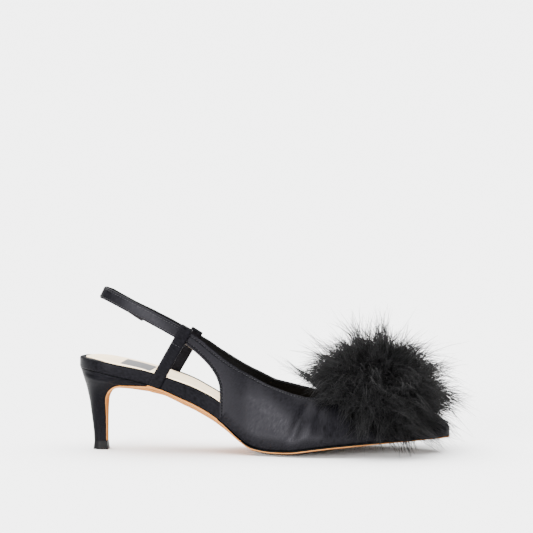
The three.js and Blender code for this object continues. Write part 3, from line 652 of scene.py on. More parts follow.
# Woven satin: a soft mottle, the weave that shows from a step away, and its fine picks and floats
def satin(name, relief=1.0, gloss=0.075):
    material = new_material(
        name, SATIN_BLACK, SATIN_ROUGHNESS, Specular_IOR_Level=gloss, Specular_Tint=SATIN_TINT,
    )
    floats = noise(material, (500, 5200, 1), 3)
    picks = noise(material, (4200, 700, 1), 2)
    weave = noise(material, (1500, 420, 1), 5)
    mottle = noise(material, (70, 110, 1), 4)
    varied_colour(material, weave, 0.35, 0.65, SATIN_BLACK, SATIN_GREY)
    varied_roughness(material, weave, 0.32, 0.56)
    add_relief(material, [
        (mottle, 0.15, 0.1),
        (weave, 0.3 * relief, 0.08),
        (picks, 0.25 * relief, 0.05),
        (floats, 0.35 * relief, 0.05),
    ])
    return material


def sole_leather(name, tan_light, tan_deep):
    material = grained(name, tan_light, 0.5, 0.0, 2400, 3, "Object", 0.18, 0.05)
    clouds = noise(material, (60, 90, 60), 4, "Object")
    varied_colour(material, clouds, 0.35, 0.75, tan_light, tan_deep)
    varied_roughness(material, clouds, 0.3, 0.42)
    return material


def sock_leather():
    cream = (0.92, 0.74, 0.5)
    warm = (0.88, 0.68, 0.43)
    material = grained("cream_sock_leather", cream, 0.52, 0.5, 1500, 4, "UV", 0.25, 0.08)
    varied_colour(material, noise(material, (70, 70, 1), 3), 0.35, 0.75, cream, warm)
    return material


def grey_foil():
    deep = (0.064, 0.063, 0.065)
    light = (0.082, 0.08, 0.083)
    material = grained("grey_patch", light, 0.5, 0.5, 1500, 4, "UV", 0.2, 0.06)
    varied_colour(material, noise(material, (1500, 1500, 1), 4), 0.3, 0.7, deep, light)
    return material


def lift_rubber():
    deep = (0.003, 0.003, 0.0032)
    light = (0.0055, 0.0055, 0.0058)
    material = grained("black_lift_rubber", deep, 0.5, 0.05, 2600, 3, "Object", 0.25, 0.06)
    varied_colour(material, noise(material, (300, 300, 900), 3, "Object"), 0.35, 0.7, deep, light)
    return material


# Feathers: a dark colour with lighter strands laid over it by a texture. The lighter colour is partly the
# strands' own tone and partly painted highlight, the glints that light leaves on glossy barbs.
def feather_material(name, dark, light, gloss):
    material = new_material(name, dark, 0.55, Specular_IOR_Level=gloss)
    strands = noise(material, (160, 160, 160), 3, "Object")
    varied_colour(material, strands, 0.4, 0.66, dark, light)
    varied_roughness(material, strands, 0.5, 0.7)
    return material


SATIN = satin("black_satin")
HEEL_SATIN = satin("black_heel_satin", 0.5, 0.035)
STRAP_SATIN = satin("black_strap_satin", 0.9)
RISER_SATIN = satin("black_riser_satin", 0.9, 0.028)
LINING = grained("black_lining", (0.0012, 0.0013, 0.0016), 0.5, 0.03, 1400, 3, "UV", 0.3, 0.06)
THREAD = grained("black_thread", (0.012, 0.012, 0.0135), 0.4, 0.2, 6000, 1, "Object", 0.4, 0.05)
TAN = sole_leather("tan_sole_leather", (0.4, 0.17, 0.05), (0.31, 0.125, 0.036))
# Dark brown painted shade for the forepart's tread, which lies in the shadow on the floor
TREAD_SHADE_TAN = sole_leather("tread_shade_leather", (0.12, 0.085, 0.06), (0.09, 0.064, 0.045))
CREAM = sock_leather()
PATCH = grey_foil()
RUBBER = lift_rubber()
# Black painted shade along the top of the sole's edge, where the upper's lower edge turns in over it
EDGE_SHADE_BLACK = grained("black_edge_shade", (0.003, 0.003, 0.003), 0.6, 0.05, 2400, 3, "Object", 0.2, 0.05)
# The lighter colours of both feather materials are partly painted highlight on the strands
FEATHER_BLACK = feather_material("black_marabou", (0.001, 0.001, 0.0011), (0.0085, 0.0085, 0.009), 0.16)
FEATHER_QUILL = feather_material(
    "black_marabou_quill", (0.0014, 0.0014, 0.0015), (0.007, 0.007, 0.0074), 0.2,
)


# Places from one end to the other, crowded towards both ends
def eased(count):
    return (1 - np.cos(math.pi * np.linspace(0, 1, count + 1))) / 2


PAD_ALONG = 150
PAD_ACROSS = 14
ROUND_STEPS = 5


# A pad of even outline: rings of points at an inset and a height, from the bottom edge up to the top edge,
# closed by a face below and one above
def pad(cloth, half_at, levels, back, front):
    share = eased(PAD_ALONG)
    left_rows = []
    right_rows = []
    for inset, height_at in levels:
        x = mix(back + inset, front - inset, share)
        free = half_at(x, inset, height_at(x, middle(x)))
        for rows, sign in ((left_rows, 1), (right_rows, -1)):
            z = height_at(x, middle(x) + sign * free)
            rows.append(stack(x, middle(x) + sign * half_at(x, inset, z), z))
    cloth.grid(np.array(left_rows))
    cloth.grid(np.array(right_rows), turned=True)
    spread = np.linspace(0, 1, PAD_ACROSS + 1)[:, None, None]
    cloth.grid(mix(left_rows[-1][None], right_rows[-1][None], spread))
    cloth.grid(mix(left_rows[0][None], right_rows[0][None], spread), turned=True)


# Levels of a rounded edge, from the bottom face to the top face
def rounded_levels(bottom_at, top_at, radius):
    turns = [math.pi / 2 * k / ROUND_STEPS for k in range(ROUND_STEPS + 1)]
    quarter = [(radius * (1 - math.sin(turn)), radius * (1 - math.cos(turn))) for turn in turns]
    low = [(inset, lambda x, y, lift=lift: bottom_at(x, y) + lift) for inset, lift in quarter]
    high = [(inset, lambda x, y, sink=sink: top_at(x, y) - sink) for inset, sink in reversed(quarter)]
    return low + high


TOE_ROOM = 2.2
FOOTBED_FRONT = TIP_X - UPPER_WALL - GAP - TOE_ROOM
RAND_ROUND = 0.9
SOCK_ROUND = 0.42

# The rand's cover stands above the sock round the back, and along the inner side ahead of the riser
LIP_RISE = 0.9
LIP_FADES = (3 - BACK_REACH, 9 - BACK_REACH)
INNER_LIP_RISE = 1.75
INNER_LIP_GROWS = (34, 44)
LIP_WIDE = 1.5


def rand_lip(x, y):
    back = LIP_RISE * (1 - smooth_step(*LIP_FADES, x))
    inner = INNER_LIP_RISE * smooth_step(*INNER_LIP_GROWS, x) * np.where(y > middle(x), 1, 0)
    return np.maximum(back, inner)


def insole_rand():
    cloth = Cloth()
    levels = rounded_levels(
        lambda x, y: feather(x) - waist_sag(x),
        lambda x, y: board_top(x, y) + rand_lip(x, y),
        RAND_ROUND,
    )
    levels.append((LIP_WIDE, lambda x, y: board_top(x, y) + GAP))
    pad(cloth, footbed_half, levels, -BACK_REACH, FOOTBED_FRONT)
    cloth.piece("insole_rand", [HEEL_SATIN], "covered_board", ["insole_board"])


# The sock stops short of the rand's back, where the satin is turned over the board. Its lower face lies
# a hair above the board.
SOCK_BACK_INSET = 4.2
SOCK_WIDENS = (-10, 10)
SOCK_CLEARANCE = 0.02


def sock_inset(x):
    return mix(SOCK_BACK_INSET, SOCK_INSET, smooth_step(*SOCK_WIDENS, x))


def sock():
    cloth = Cloth()
    levels = rounded_levels(
        lambda x, y: board_top(x, y) + SOCK_CLEARANCE,
        lambda x, y: board_top(x, y) + GAP + SOCK_THICKNESS,
        SOCK_ROUND,
    )
    pad(
        cloth,
        lambda x, inset, z: footbed_half(x, inset + sock_inset(x), z),
        levels,
        -BACK_REACH + SOCK_BACK_INSET,
        FOOTBED_FRONT - 2 * SOCK_INSET,
    )
    cloth.piece("sock", [CREAM], "sock_leather", ["sock_lining"])


# A plain grey rectangle printed on the sock's seat
PATCH_BACK = 15.4
PATCH_FRONT = 36.0
PATCH_NEAR = -19.8
PATCH_FAR = 18.5
PATCH_TURN = -6.4
PATCH_RISE = 0.06
PATCH_STEPS = 40


def patch():
    cloth = Cloth()
    u = np.linspace(0, 1, PATCH_STEPS + 1)[:, None]
    v = np.linspace(0, 1, PATCH_STEPS + 1)[None, :]
    y = mix(PATCH_NEAR, PATCH_FAR, v) + PATCH_TURN * u
    x = mix(PATCH_BACK, PATCH_FRONT, u) + 0 * v
    top = stack(x, y, board_top(x, y) + GAP + SOCK_THICKNESS + PATCH_RISE)
    low = top - np.array([0, 0, 2 * PATCH_RISE])
    cloth.grid(top)
    cloth.grid(low, turned=True)
    cloth.grid(np.array([top[0], low[0]]))
    cloth.grid(np.array([low[-1], top[-1]]))
    cloth.grid(np.array([low[:, 0], top[:, 0]]))
    cloth.grid(np.array([top[:, -1], low[:, -1]]))
    cloth.piece("sock_patch", [PATCH], "sock_leather")


# Outsole: the flap on the breast, then the waist and the forepart, with a crowned bottom.
# Behind the lip it lies lower, and it comes up over a short way ahead of it.
LIP_BLEND = 11
SOLE_TOE_END = 8
FLAP_ROWS = 90
SOLE_ROWS = 190
TOE_ROWS = 24


def sole_rows():
    share = np.linspace(0, 1, FLAP_ROWS)
    x, z, turn = breast_path(share, GAP)
    z[0] += GAP
    bent = smooth_step(BEND_FROM, BEND_TO, share)
    flap = {
        "x": x,
        "z": z,
        "turn": turn,
        "middle": 0 * x,
        "half": heel_column("half", share) * SEAT_WIDTH / 2 - FLAP_INSET,
        "edge": mix(FLAP_THICKNESS, SOLE_EDGE, bent),
        "crown": SOLE_CROWN * column(CROWN, "crown", along(x)) * bent,
    }
    toe_turn = np.linspace(1 / (TOE_ROWS + 1), 1, TOE_ROWS) * math.pi / 2
    toe = TIP_X - SOLE_TOE_END * (1 - np.sin(toe_turn))
    x = np.concatenate([np.linspace(LIP_X + LIP_EDGE, TIP_X - SOLE_TOE_END, SOLE_ROWS), toe])
    under_upper = smooth_step(place_along(VAMP_ALONG), place_along(VAMP_ALONG + WIDENS_OVER), x)
    half = half_width(x, SOLE_INSET + board_inset(x) * (1 - under_upper))
    near_lip = 1 - smooth_step(LIP_X, LIP_X + LIP_BLEND, x)
    forward = {
        "x": x,
        "z": feather(x) - waist_sag(x) - GAP,
        "turn": 0 * x + math.pi / 2,
        "middle": middle(x),
        "half": half - (half[0] - flap["half"][-1]) * near_lip,
        "edge": SOLE_EDGE + (LIP_EDGE + GAP) * near_lip,
        "crown": SOLE_CROWN * column(CROWN, "crown", along(x)),
    }
    return {key: np.concatenate([flap[key], forward[key]])[:, None] for key in flap}


SOLE_ACROSS = 36
SOLE_SOFT = 0.3

# From here forward the forepart's tread is a dark, dull brown. This is painted shade, so that the light the
# tread throws back into the shadow beneath the sole is not orange.
TREAD_SHADE_FROM = 104

# Bands of the sole's edge, as shares of its thickness, and where the black of each starts, if it has any.
# The black is painted shade, for the shade under the upper's turned-in lower edge.
EDGE_SHADE_BANDS = [(0.0, 0.34, 80), (0.34, 0.6, 96), (0.6, 1.0, None)]
TREAD_SHADE_SLOT = 1
EDGE_SHADE_SLOT = 2


def sole():
    rows = sole_rows()
    across = np.sin(np.linspace(-1, 1, SOLE_ACROSS + 1) * math.pi / 2)[None, :]
    top = stack(rows["x"] + 0 * across, rows["middle"] + across * rows["half"], rows["z"] + 0 * across)
    depth = rows["edge"] + rows["crown"] * (1 - across ** 2)
    low = top + stack(np.cos(rows["turn"]) * depth, 0 * depth, -np.sin(rows["turn"]) * depth)
    low[..., 2] = np.maximum(0, low[..., 2])
    cloth = Cloth()
    length = rows["x"][:, 0]
    # The sole's top face takes the black painted shade from the first band's start forward, like the upper
    # bands of its edge below
    edge_shade_start = int(np.argmax(length > EDGE_SHADE_BANDS[0][2]))
    cloth.grid(top[: edge_shade_start + 1])
    cloth.grid(top[edge_shade_start:], slot=EDGE_SHADE_SLOT)
    # The forepart's tread takes the dark brown painted shade
    tread_shade_start = int(np.argmax(length > TREAD_SHADE_FROM))
    cloth.grid(low[: tread_shade_start + 1], turned=True)
    cloth.grid(low[tread_shade_start:], turned=True, slot=TREAD_SHADE_SLOT)
    for share, share_below, shade_from in EDGE_SHADE_BANDS:
        row = mix(top, low, share)
        row_below = mix(top, low, share_below)
        first = int(np.argmax(length > shade_from)) if shade_from else len(length) - 1
        for end, turned in ((0, True), (-1, False)):
            band = np.stack([row[:, end], row_below[:, end]], axis=1)
            cloth.grid(band[: first + 1], turned=turned)
            if shade_from:
                cloth.grid(band[first:], turned=turned, slot=EDGE_SHADE_SLOT)
        cloth.grid(np.stack([row[0], row_below[0]]))
        cloth.grid(np.stack([row[-1], row_below[-1]]), turned=True, slot=EDGE_SHADE_SLOT if shade_from else 0)
    piece = cloth.piece("sole", [TAN, TREAD_SHADE_TAN, EDGE_SHADE_BLACK], "sole_leather", ["outsole"])
    bevelled(piece, SOLE_SOFT, angle=50, segments=2)


# A D-shaped section: round at the back, flat across the front
SEAT_ROUND_SHARE = HEEL_ROUND / (LIP_X + BACK_REACH)
HEEL_ROWS = 110
D_STEPS = 33
D_CROWDING = 1.1
D_FRONT_STEPS = 6
D_FILL_STEPS = 9
HEEL_SOFT = 0.35
LIFT_SOFT = 0.25


def round_back(widest):
    return lambda share, x: widest * end_round(share, SEAT_ROUND_SHARE)


def d_rows(back_x, back_z, front_x, front_z, half_at, height_at=None):
    share = (1 - np.cos(np.linspace(0, 1, D_STEPS) * math.pi / 2)) ** D_CROWDING
    share = np.concatenate([share[:-1], np.linspace(share[-2], 1, D_FRONT_STEPS)[1:]])
    x = mix(back_x, front_x, share)
    z = mix(back_z, front_z, share) if height_at is None else height_at(x)
    half = half_at(share, x)
    left = stack(x, half, z)
    right = stack(x, -half, z)
    return np.concatenate([right[::-1], left[1:]])


def stacked_d(rings, name, material, slot_name, node, soft):
    grid = np.array(rings)
    count = grid.shape[1] // 2
    cloth = Cloth()
    cloth.grid(grid)
    front = np.linspace(0, 1, D_FILL_STEPS)[None, :, None]
    cloth.grid(mix(grid[:, -1][:, None], grid[:, 0][:, None], front))
    for row, turned in ((grid[0], True), (grid[-1], False)):
        right = row[: count + 1][::-1]
        left = row[count:]
        spread = np.linspace(0, 1, D_FILL_STEPS)[:, None, None]
        cloth.grid(mix(left[None], right[None], spread), turned=turned)
    piece = cloth.piece(name, [material], slot_name, [node])
    bevelled(piece, soft, angle=45)


def heel_cover():
    rings = []
    for share in np.linspace(0, 1, HEEL_ROWS):
        x, z, _ = breast_path(share, 0)
        back_z = z if share == 0 else heel_column("rise", share) * HEEL_HEIGHT
        widest = HEEL_TIP_WIDTH / 2 if share == 0 else heel_column("half", share) * SEAT_WIDTH / 2
        back_x = -heel_column("back", share) * BACK_REACH
        rings.append(d_rows(back_x, back_z, x, z, round_back(widest)))
    rings.append(d_rows(
        -BACK_REACH + SEAT_INSET, 0, LIP_X, 0,
        lambda s, x: half_width(x, SEAT_INSET),
        lambda x: feather(x) - GAP,
    ))
    stacked_d(rings, "heel_cover", HEEL_SATIN, "covered_heel", "heel", HEEL_SOFT)


def lift():
    covered = HEEL_TIP_LENGTH + GAP + FLAP_THICKNESS
    length_halfway = (TOP_PIECE_LENGTH + covered) / 2
    width_halfway = (TOP_PIECE_WIDTH + HEEL_TIP_WIDTH) / 2
    rings = []
    for z, length, width in (
        (0, TOP_PIECE_LENGTH, TOP_PIECE_WIDTH),
        (TOP_PIECE_HEIGHT / 2, length_halfway, width_halfway),
        (TOP_PIECE_HEIGHT, covered, HEEL_TIP_WIDTH),
    ):
        front = HEEL_TIP_FRONT + GAP + FLAP_THICKNESS + (length - covered) / 2
        rings.append(d_rows(front - length, z, front, z, round_back(width / 2)))
    stacked_d(rings, "heel_lift", RUBBER, "top_piece", "top_piece", LIFT_SOFT)


# Upper: satin outside and lining inside, with soft folded edges
EDGE_PLACES = [0, 0.55, 1.0, 1.5, 1.85, 2.1, 2.35, 2.7, 3.3]
STITCH_DEPTH = 2.1
EDGE_PUFF = 0.12
PUFF_AT = 0.75
PUFF_WIDE = 0.5
STITCH_SINK = 0.34
STITCH_DIP_WIDE = 0.28
END_ROLL = 0.5
LINING_SWELL = 0.5
UPPER_ACROSS = 34
LEAST_MIDDLE = 0.3
UPPER_SOFT = 0.45

# A wall line is this much longer than the straight way between its ends
WALL_BOW = 1.08

# The way out of the wall is measured between its face and this far inside
OUT_STEP = 0.5

# From the wing's end to the waist, in millimetres
WING_RUN = 90

# The upper turns in above the sole
TUCK_DEEP = 1.5
TUCK_HIGH = 7.5

# Lines over which the edges' rolls fade out and the tuck comes and goes
TOP_ROLL_FADES = (THROAT_LINE - 1.2, THROAT_LINE - 0.2)
LOW_ROLL_FADES = (WAIST_LINE - 0.35, WAIST_LINE + 0.1)
END_ROLL_FADES = (0.2, 0.6)
TUCK_COMES = (WAIST_LINE - 0.1, WAIST_LINE + 0.4)
TUCK_GOES = (LAST_LINE - 4, LAST_LINE - 1)

# Shares of a wall line over which the troughs come and go
TROUGHS_COME = (0.02, 0.2)
TROUGHS_GO = (0.8, 0.98)
LINES_TO_WAIST = 110
LINES_TO_THROAT = 90
LINES_TO_TOE = 80
TOE_LINES = 14


def upper_lines():
    return np.concatenate([
        np.linspace(0, WAIST_LINE, LINES_TO_WAIST)[:-1],
        np.linspace(WAIST_LINE, THROAT_LINE, LINES_TO_THROAT)[:-1],
        np.linspace(THROAT_LINE, LAST_LINE - 1, LINES_TO_TOE)[:-1],
        LAST_LINE - 1 + np.sin(np.linspace(0, 1, TOE_LINES) * math.pi / 2),
    ])


# Shares up one wall line, at fixed distances from both edges and evenly between them
def wall_shares(lengths):
    edge = np.array(EDGE_PLACES)
    inner = np.linspace(0, 1, UPPER_ACROSS + 1)[1:-1]
    room = np.maximum(lengths - 2 * edge[-1], LEAST_MIDDLE * lengths)
    scale = (lengths - room) / (2 * edge[-1])
    low = edge[None] * scale[:, None] / lengths[:, None]
    middle_part = low[:, -1:] + inner[None] * (room / lengths)[:, None]
    return np.concatenate([low, middle_part, 1 - low[:, ::-1]], axis=1)


# How far the cloth stands out near a folded edge: a soft roll, then the dip that the stitches pull
def edge_swell(distance):
    roll = EDGE_PUFF * np.exp(-((distance - PUFF_AT) / PUFF_WIDE) ** 2)
    dip = STITCH_SINK * np.exp(-((distance - STITCH_DEPTH) / STITCH_DIP_WIDE) ** 2)
    return roll - dip


# Soft troughs that the last's flex leaves on the vamp's side:
# line and share of the middle, half lengths along both, depth in millimetres
VAMP_TROUGHS = [
    (10.6, 0.30, 1.5, 0.16, 0.2),
    (12.9, 0.45, 0.4, 0.4, 1.1),
    (13.9, 0.30, 0.4, 0.3, -0.3),
    (14.8, 0.40, 0.45, 0.3, 0.4),
    (9.6, 0.62, 0.8, 0.2, -0.25),
    (16.2, 0.4, 0.6, 0.25, 0.3),
]


def vamp_relief(line, share):
    depth = 0 * share
    for at_line, at_share, long, wide, deep in VAMP_TROUGHS:
        depth = depth - deep * np.exp(-((line - at_line) / long) ** 2 - ((share - at_share) / wide) ** 2)
    return depth


def wall_lengths(lines, side):
    first = upper_point(lines, 0 * lines, side, 0)
    last = upper_point(lines, 0 * lines + 1, side, 0)
    return np.linalg.norm(last - first, axis=1) * WALL_BOW


def upper_grids(side, lines):
    lengths = wall_lengths(lines, side)
    shares = wall_shares(lengths)
    line = lines[:, None] + 0 * shares
    from_top = (1 - shares) * lengths[:, None]
    from_low = shares * lengths[:, None]
    from_end = (lines / WAIST_LINE * WING_RUN)[:, None] + 0 * shares
    top_free = 1 - smooth_step(*TOP_ROLL_FADES, line)
    low_free = 1 - smooth_step(*LOW_ROLL_FADES, line)
    swell = edge_swell(from_top) * top_free + edge_swell(from_low) * low_free
    swell = swell + END_ROLL * edge_swell(from_end) * (1 - smooth_step(*END_ROLL_FADES, line))
    fade = smooth_step(*TROUGHS_COME, shares) * (1 - smooth_step(*TROUGHS_GO, shares))
    relief = vamp_relief(line, shares) * fade
    tucked = smooth_step(*TUCK_COMES, line) * (1 - smooth_step(*TUCK_GOES, line))
    relief = relief - TUCK_DEEP * tucked * np.clip(1 - from_low / TUCK_HIGH, 0, 1) ** 2
    outer = upper_point(line, shares, side, 0)
    outer_low = upper_point(line, shares, side, OUT_STEP)
    out = unit(outer - outer_low)
    outer = outer + out * (swell + relief)[..., None]
    inner = upper_point(line, shares, side, UPPER_WALL)
    inner = inner - out * (LINING_SWELL * swell)[..., None]
    return outer, inner


def vamp():
    lines = upper_lines()
    throat = int(np.argmin(np.abs(lines - THROAT_LINE)))
    cloth = Cloth()
    for side in SIDES:
        turned = side["sign"] > 0
        outer, inner = upper_grids(side, lines)
        cloth.grid(outer, turned)
        cloth.grid(inner, not turned, slot=1)
        cloth.grid(np.stack([outer[:, 0], inner[:, 0]], axis=1), turned)
        top_edge = np.stack([outer[: throat + 1, -1], inner[: throat + 1, -1]], axis=1)
        cloth.grid(top_edge, not turned, slot=1)
        cloth.grid(np.stack([outer[0], inner[0]]), turned)
    piece = cloth.piece("vamp", [SATIN, LINING], "satin", ["upper"])
    bevelled(piece, UPPER_SOFT, angle=50)


STRAP_CROWN = 0.12
FLAT_STEPS = 9

# Rings that close a strap's end: each one's size, and how far out it lies in millimetres
CAP_RINGS = ((0.97, 0.25), (0.86, 0.42), (0.0, 0.5))


# A strap's section: flat and slightly crowned, with rounded edges
def strap_section(wall, width, crown=STRAP_CROWN, steps=4):
    radius = wall / 2
    half = width / 2 - radius
    flats = np.linspace(1, -1, FLAT_STEPS)[1:-1]
    ring = []
    for sign in (1, -1):
        for k in range(2 * steps + 1):
            turn = -sign * math.pi / 2 + math.pi * k / (2 * steps)
            ring.append((radius * math.sin(turn), sign * half + radius * math.cos(turn)))
        ring += [(sign * (radius + crown * (1 - w * w)), sign * w * half) for w in flats]
    return np.array(ring)


def closed_round(grid):
    return np.concatenate([grid, grid[:, :1]], axis=1)


# Closes the end of a strap with a soft cap
def cap(cloth, ring, outward, turned):
    centre = ring[:-1].mean(axis=0)
    rings = [ring]
    for scale, lift in CAP_RINGS:
        rings.append(centre + (ring - centre) * scale + outward * lift)
    cloth.grid(np.array(rings), turned)


# A strap: a section swept along a line of points and closed at both ends
def swept_strap(name, points, outs, ups, section, replaces=()):
    rows = []
    for point, out, up in zip(points, outs, ups):
        rows.append(point + section[:, :1] * out + section[:, 1:] * up)
    grid = closed_round(np.array(rows))
    cloth = Cloth()
    cloth.grid(grid)
    cap(cloth, grid[0], unit(points[0] - points[1]), True)
    cap(cloth, grid[-1], unit(points[-1] - points[-2]), False)
    cloth.piece(name, [STRAP_SATIN], "satin", replaces)


def loop_place(side):
    low = upper_point(0.0, 0.0, side, UPPER_WALL / 2)
    top = upper_point(0.0, 1.0, side, UPPER_WALL / 2)
    foot_x = place_along(side["riser_along"])
    return low, top, (low + top) / 2, np.array([foot_x, 0, float(feather(foot_x))])


def sling_point(side, share):
    low, top, centre, _ = loop_place(side)
    up = unit((top - low) * FLAT)
    start = centre + np.array([-up[2], 0, up[0]]) * (GAP + UPPER_WALL / 4)
    back_x = -BACK_REACH + SLING_BACK
    return stack(
        mix(start[0], back_x, share),
        start[1] * column(SLING, "spread", share),
        mix(start[2], SLING_TOP, column(SLING, side["climb"], share)),
    )


# Shares of the sling's way over which it turns from the wing's lean to its own
SLING_LEANS_OVER = (0.08, 0.5)
SLING_STEPS = 130
SLING_CROWDING = 1.4
SLING_SLIMMER = 0.2


def sling_lean(side, share):
    low, top, _, _ = loop_place(side)
    wing = unit(top - low)
    free = np.array([math.sin(SLING_LEAN), 0, math.cos(SLING_LEAN)])
    return unit(mix(wing, free, smooth_step(*SLING_LEANS_OVER, share)[..., None]))


def along_path(points, leans):
    way = unit(np.gradient(points, axis=0))
    up = unit(leans - way * np.sum(leans * way, axis=1, keepdims=True))
    out = unit(np.cross(up, way))
    return up, out


def sling_line():
    share = 1 - (1 - np.linspace(0, 1, SLING_STEPS)) ** SLING_CROWDING
    points = np.concatenate([sling_point(LATERAL, share), sling_point(MEDIAL, share[::-1][1:])])
    leans = np.concatenate([sling_lean(LATERAL, share), sling_lean(MEDIAL, share[::-1][1:])])
    up, out = along_path(points, leans)
    middle_out = out[len(out) // 2]
    facing = 1 if middle_out[0] < 0 else -1
    return points, up, out * facing


def sling():
    points, up, out = sling_line()
    section = strap_section(STRAP_WALL - SLING_SLIMMER, STRAP_WIDTH)
    swept_strap("sling", points, out, up, section, ["sling_strap"])


# The doubled end of the sling, stitched inside it: its corner shows below the strap
TAIL_WALL = 0.8
TAIL_NARROWER = 0.6
TAIL_FROM = 0.45
TAIL_TO = 0.93
TAIL_LIES_IN = 0.25
TAIL_LOWER = 0.35
TAIL_HANG = 1.0
TAIL_HANGS_OVER = (TAIL_FROM, TAIL_TO - 0.25)
TAIL_STEPS = 80


def sling_tail():
    share = np.linspace(TAIL_FROM, TAIL_TO, TAIL_STEPS)
    points = sling_point(LATERAL, share)
    up, out = along_path(points, sling_lean(LATERAL, share))
    facing = 1 if out[TAIL_STEPS // 2][1] < 0 else -1
    out = out * facing
    hang = TAIL_HANG * (1 - smooth_step(*TAIL_HANGS_OVER, share))[:, None]
    inwards = STRAP_WALL / 2 + TAIL_WALL / 2 - TAIL_LIES_IN
    points = points - out * inwards - up * (TAIL_LOWER + hang)
    section = strap_section(TAIL_WALL, STRAP_WIDTH - TAIL_NARROWER, 0.0)
    swept_strap("sling_tail", points, out, up, section)


# Shares of a riser's length over which it comes up from the sole's edge to the wing
RISER_STRAIGHTENS = (0.3, 0.84)

# The riser's fold over the wing: how square it is, and how many steps its parts have
FOLD_SQUARENESS = 3
RISE_STEPS = 46
FOLD_STEPS = 16
RETURN_STEPS = 18
JOG_STEPS = 8
TURN_IN_STEPS = 8

# Below the wing the turned-in end comes over to the outer layer, and lies a hair off it
JOG_FROM = 0.4 * RISER_WALL
JOG_LONG = 2.2
TURN_IN_FROM = 2.9
TURN_IN_OFF = 0.05


# A riser's length up to the wing's middle, and half the length of the slot that the wing goes through
def riser_reach(side):
    low, top, centre, foot = loop_place(side)
    reach = np.linalg.norm((centre - foot) * FLAT)
    return reach, np.linalg.norm(top - low) / 2 + LOOP_ROOM


# Riser: a strap up from the sole's edge, folded round the wing's end and stitched to itself.
# t runs in from its outer face, s up from its foot and w across it.
def riser_place(side, t, s, w):
    low, top, centre, foot = loop_place(side)
    reach, slot_half = riser_reach(side)
    way = unit(centre * FLAT - foot)
    wide = np.array([way[2], 0, -way[0]])
    edge = float(half_width(foot[0], board_inset(foot[0])))
    foot_side = edge + SIDE_GAP + side["sign"] * float(middle(foot[0]))
    loop_side = abs(centre[1]) + UPPER_WALL / 2 + LOOP_SLACK
    wing_lean = (abs(top[1]) - abs(low[1])) / np.linalg.norm(top - low)
    straight = loop_side + wing_lean * (s - reach)
    side_at = mix(foot_side, straight, smooth_step(*RISER_STRAIGHTENS, s / reach))
    slope = float(feather(foot[0] + 1) - feather(foot[0] - 1)) / 2
    level = 1 - np.minimum(1, s / (reach - slot_half))
    shear = w * level * (slope * wide[0] - wide[2]) * way[2]
    point = foot + way * (s + shear)[..., None] + wide * w[..., None]
    point[..., 1] = side["sign"] * (side_at - t)
    return point


# The riser's middle line in (t, s): up the outside, over the wing and back down inside
def riser_line(side):
    reach, slot_half = riser_reach(side)
    slot_low = reach - slot_half
    slot_width = UPPER_WALL + 2 * LOOP_SLACK
    half_wall = RISER_WALL / 2
    fold = half_wall + slot_width / 2
    fold_from = reach + slot_half - fold + RISER_WALL
    corners = [(-half_wall, s) for s in np.linspace(0, fold_from, RISE_STEPS)]
    for k in range(1, FOLD_STEPS):
        turn = math.pi * k / FOLD_STEPS
        cosine = math.cos(turn)
        sine = math.sin(turn)
        square = (abs(cosine) ** FOLD_SQUARENESS + abs(sine) ** FOLD_SQUARENESS) ** (-1 / FOLD_SQUARENESS)
        over = (fold - half_wall) * sine * square
        corners.append((slot_width / 2 - fold * cosine * square, fold_from + over))
    inner = slot_width + half_wall
    layer = half_wall + TURN_IN_OFF
    corners += [(inner, s) for s in np.linspace(fold_from, slot_low - JOG_FROM, RETURN_STEPS)]
    for k in range(1, JOG_STEPS + 1):
        share = k / JOG_STEPS
        across = mix(inner, layer, float(smooth_step(0, 1, share)))
        corners.append((across, slot_low - JOG_FROM - JOG_LONG * share))
    turn_in = np.linspace(slot_low - TURN_IN_FROM, slot_low - TURN_IN, TURN_IN_STEPS)
    corners += [(layer, s) for s in turn_in]
    return np.array(corners)


def riser(side):
    line = riser_line(side)
    way = unit(np.gradient(line, axis=0))
    normal = np.stack([-way[:, 1], way[:, 0]], axis=1)
    section = strap_section(RISER_WALL, RISER_WIDTH, 0.0, 3)
    t = line[:, :1] + normal[:, :1] * section[None, :, 0]
    s = np.maximum(line[:, 1:] + normal[:, 1:] * section[None, :, 0], 0)
    w = np.broadcast_to(section[None, :, 1], t.shape)
    grid = closed_round(riser_place(side, t, s, w))
    cloth = Cloth()
    cloth.grid(grid)
    cap(cloth, grid[0], np.zeros(3), True)
    cap(cloth, grid[-1], unit(grid[-1].mean(axis=0) - grid[-2].mean(axis=0)), False)
    cloth.piece("riser_strap_" + side["name"], [RISER_SATIN], "satin", ["riser_" + side["name"]])


# Stitches: short rounded threads laid along a line, their ends sunk into the cloth
STITCH_LONG = 1.3
STITCH_PITCH = 2.0
STITCH_THICK = 0.5
STITCH_LIFT = 0.08
STITCH_SIDES = 5
FIRST_STITCH = 0.15
WAY_REACH = 0.1

# Rings of one stitch: shares of its length, of its thickness that they are sunk, and of its thickness
STITCH_RINGS = [
    (0, 0.3, 0),
    (0.08, 0.16, 0.75),
    (0.5, 0, 1),
    (0.92, 0.16, 0.75),
    (1, 0.3, 0),
]


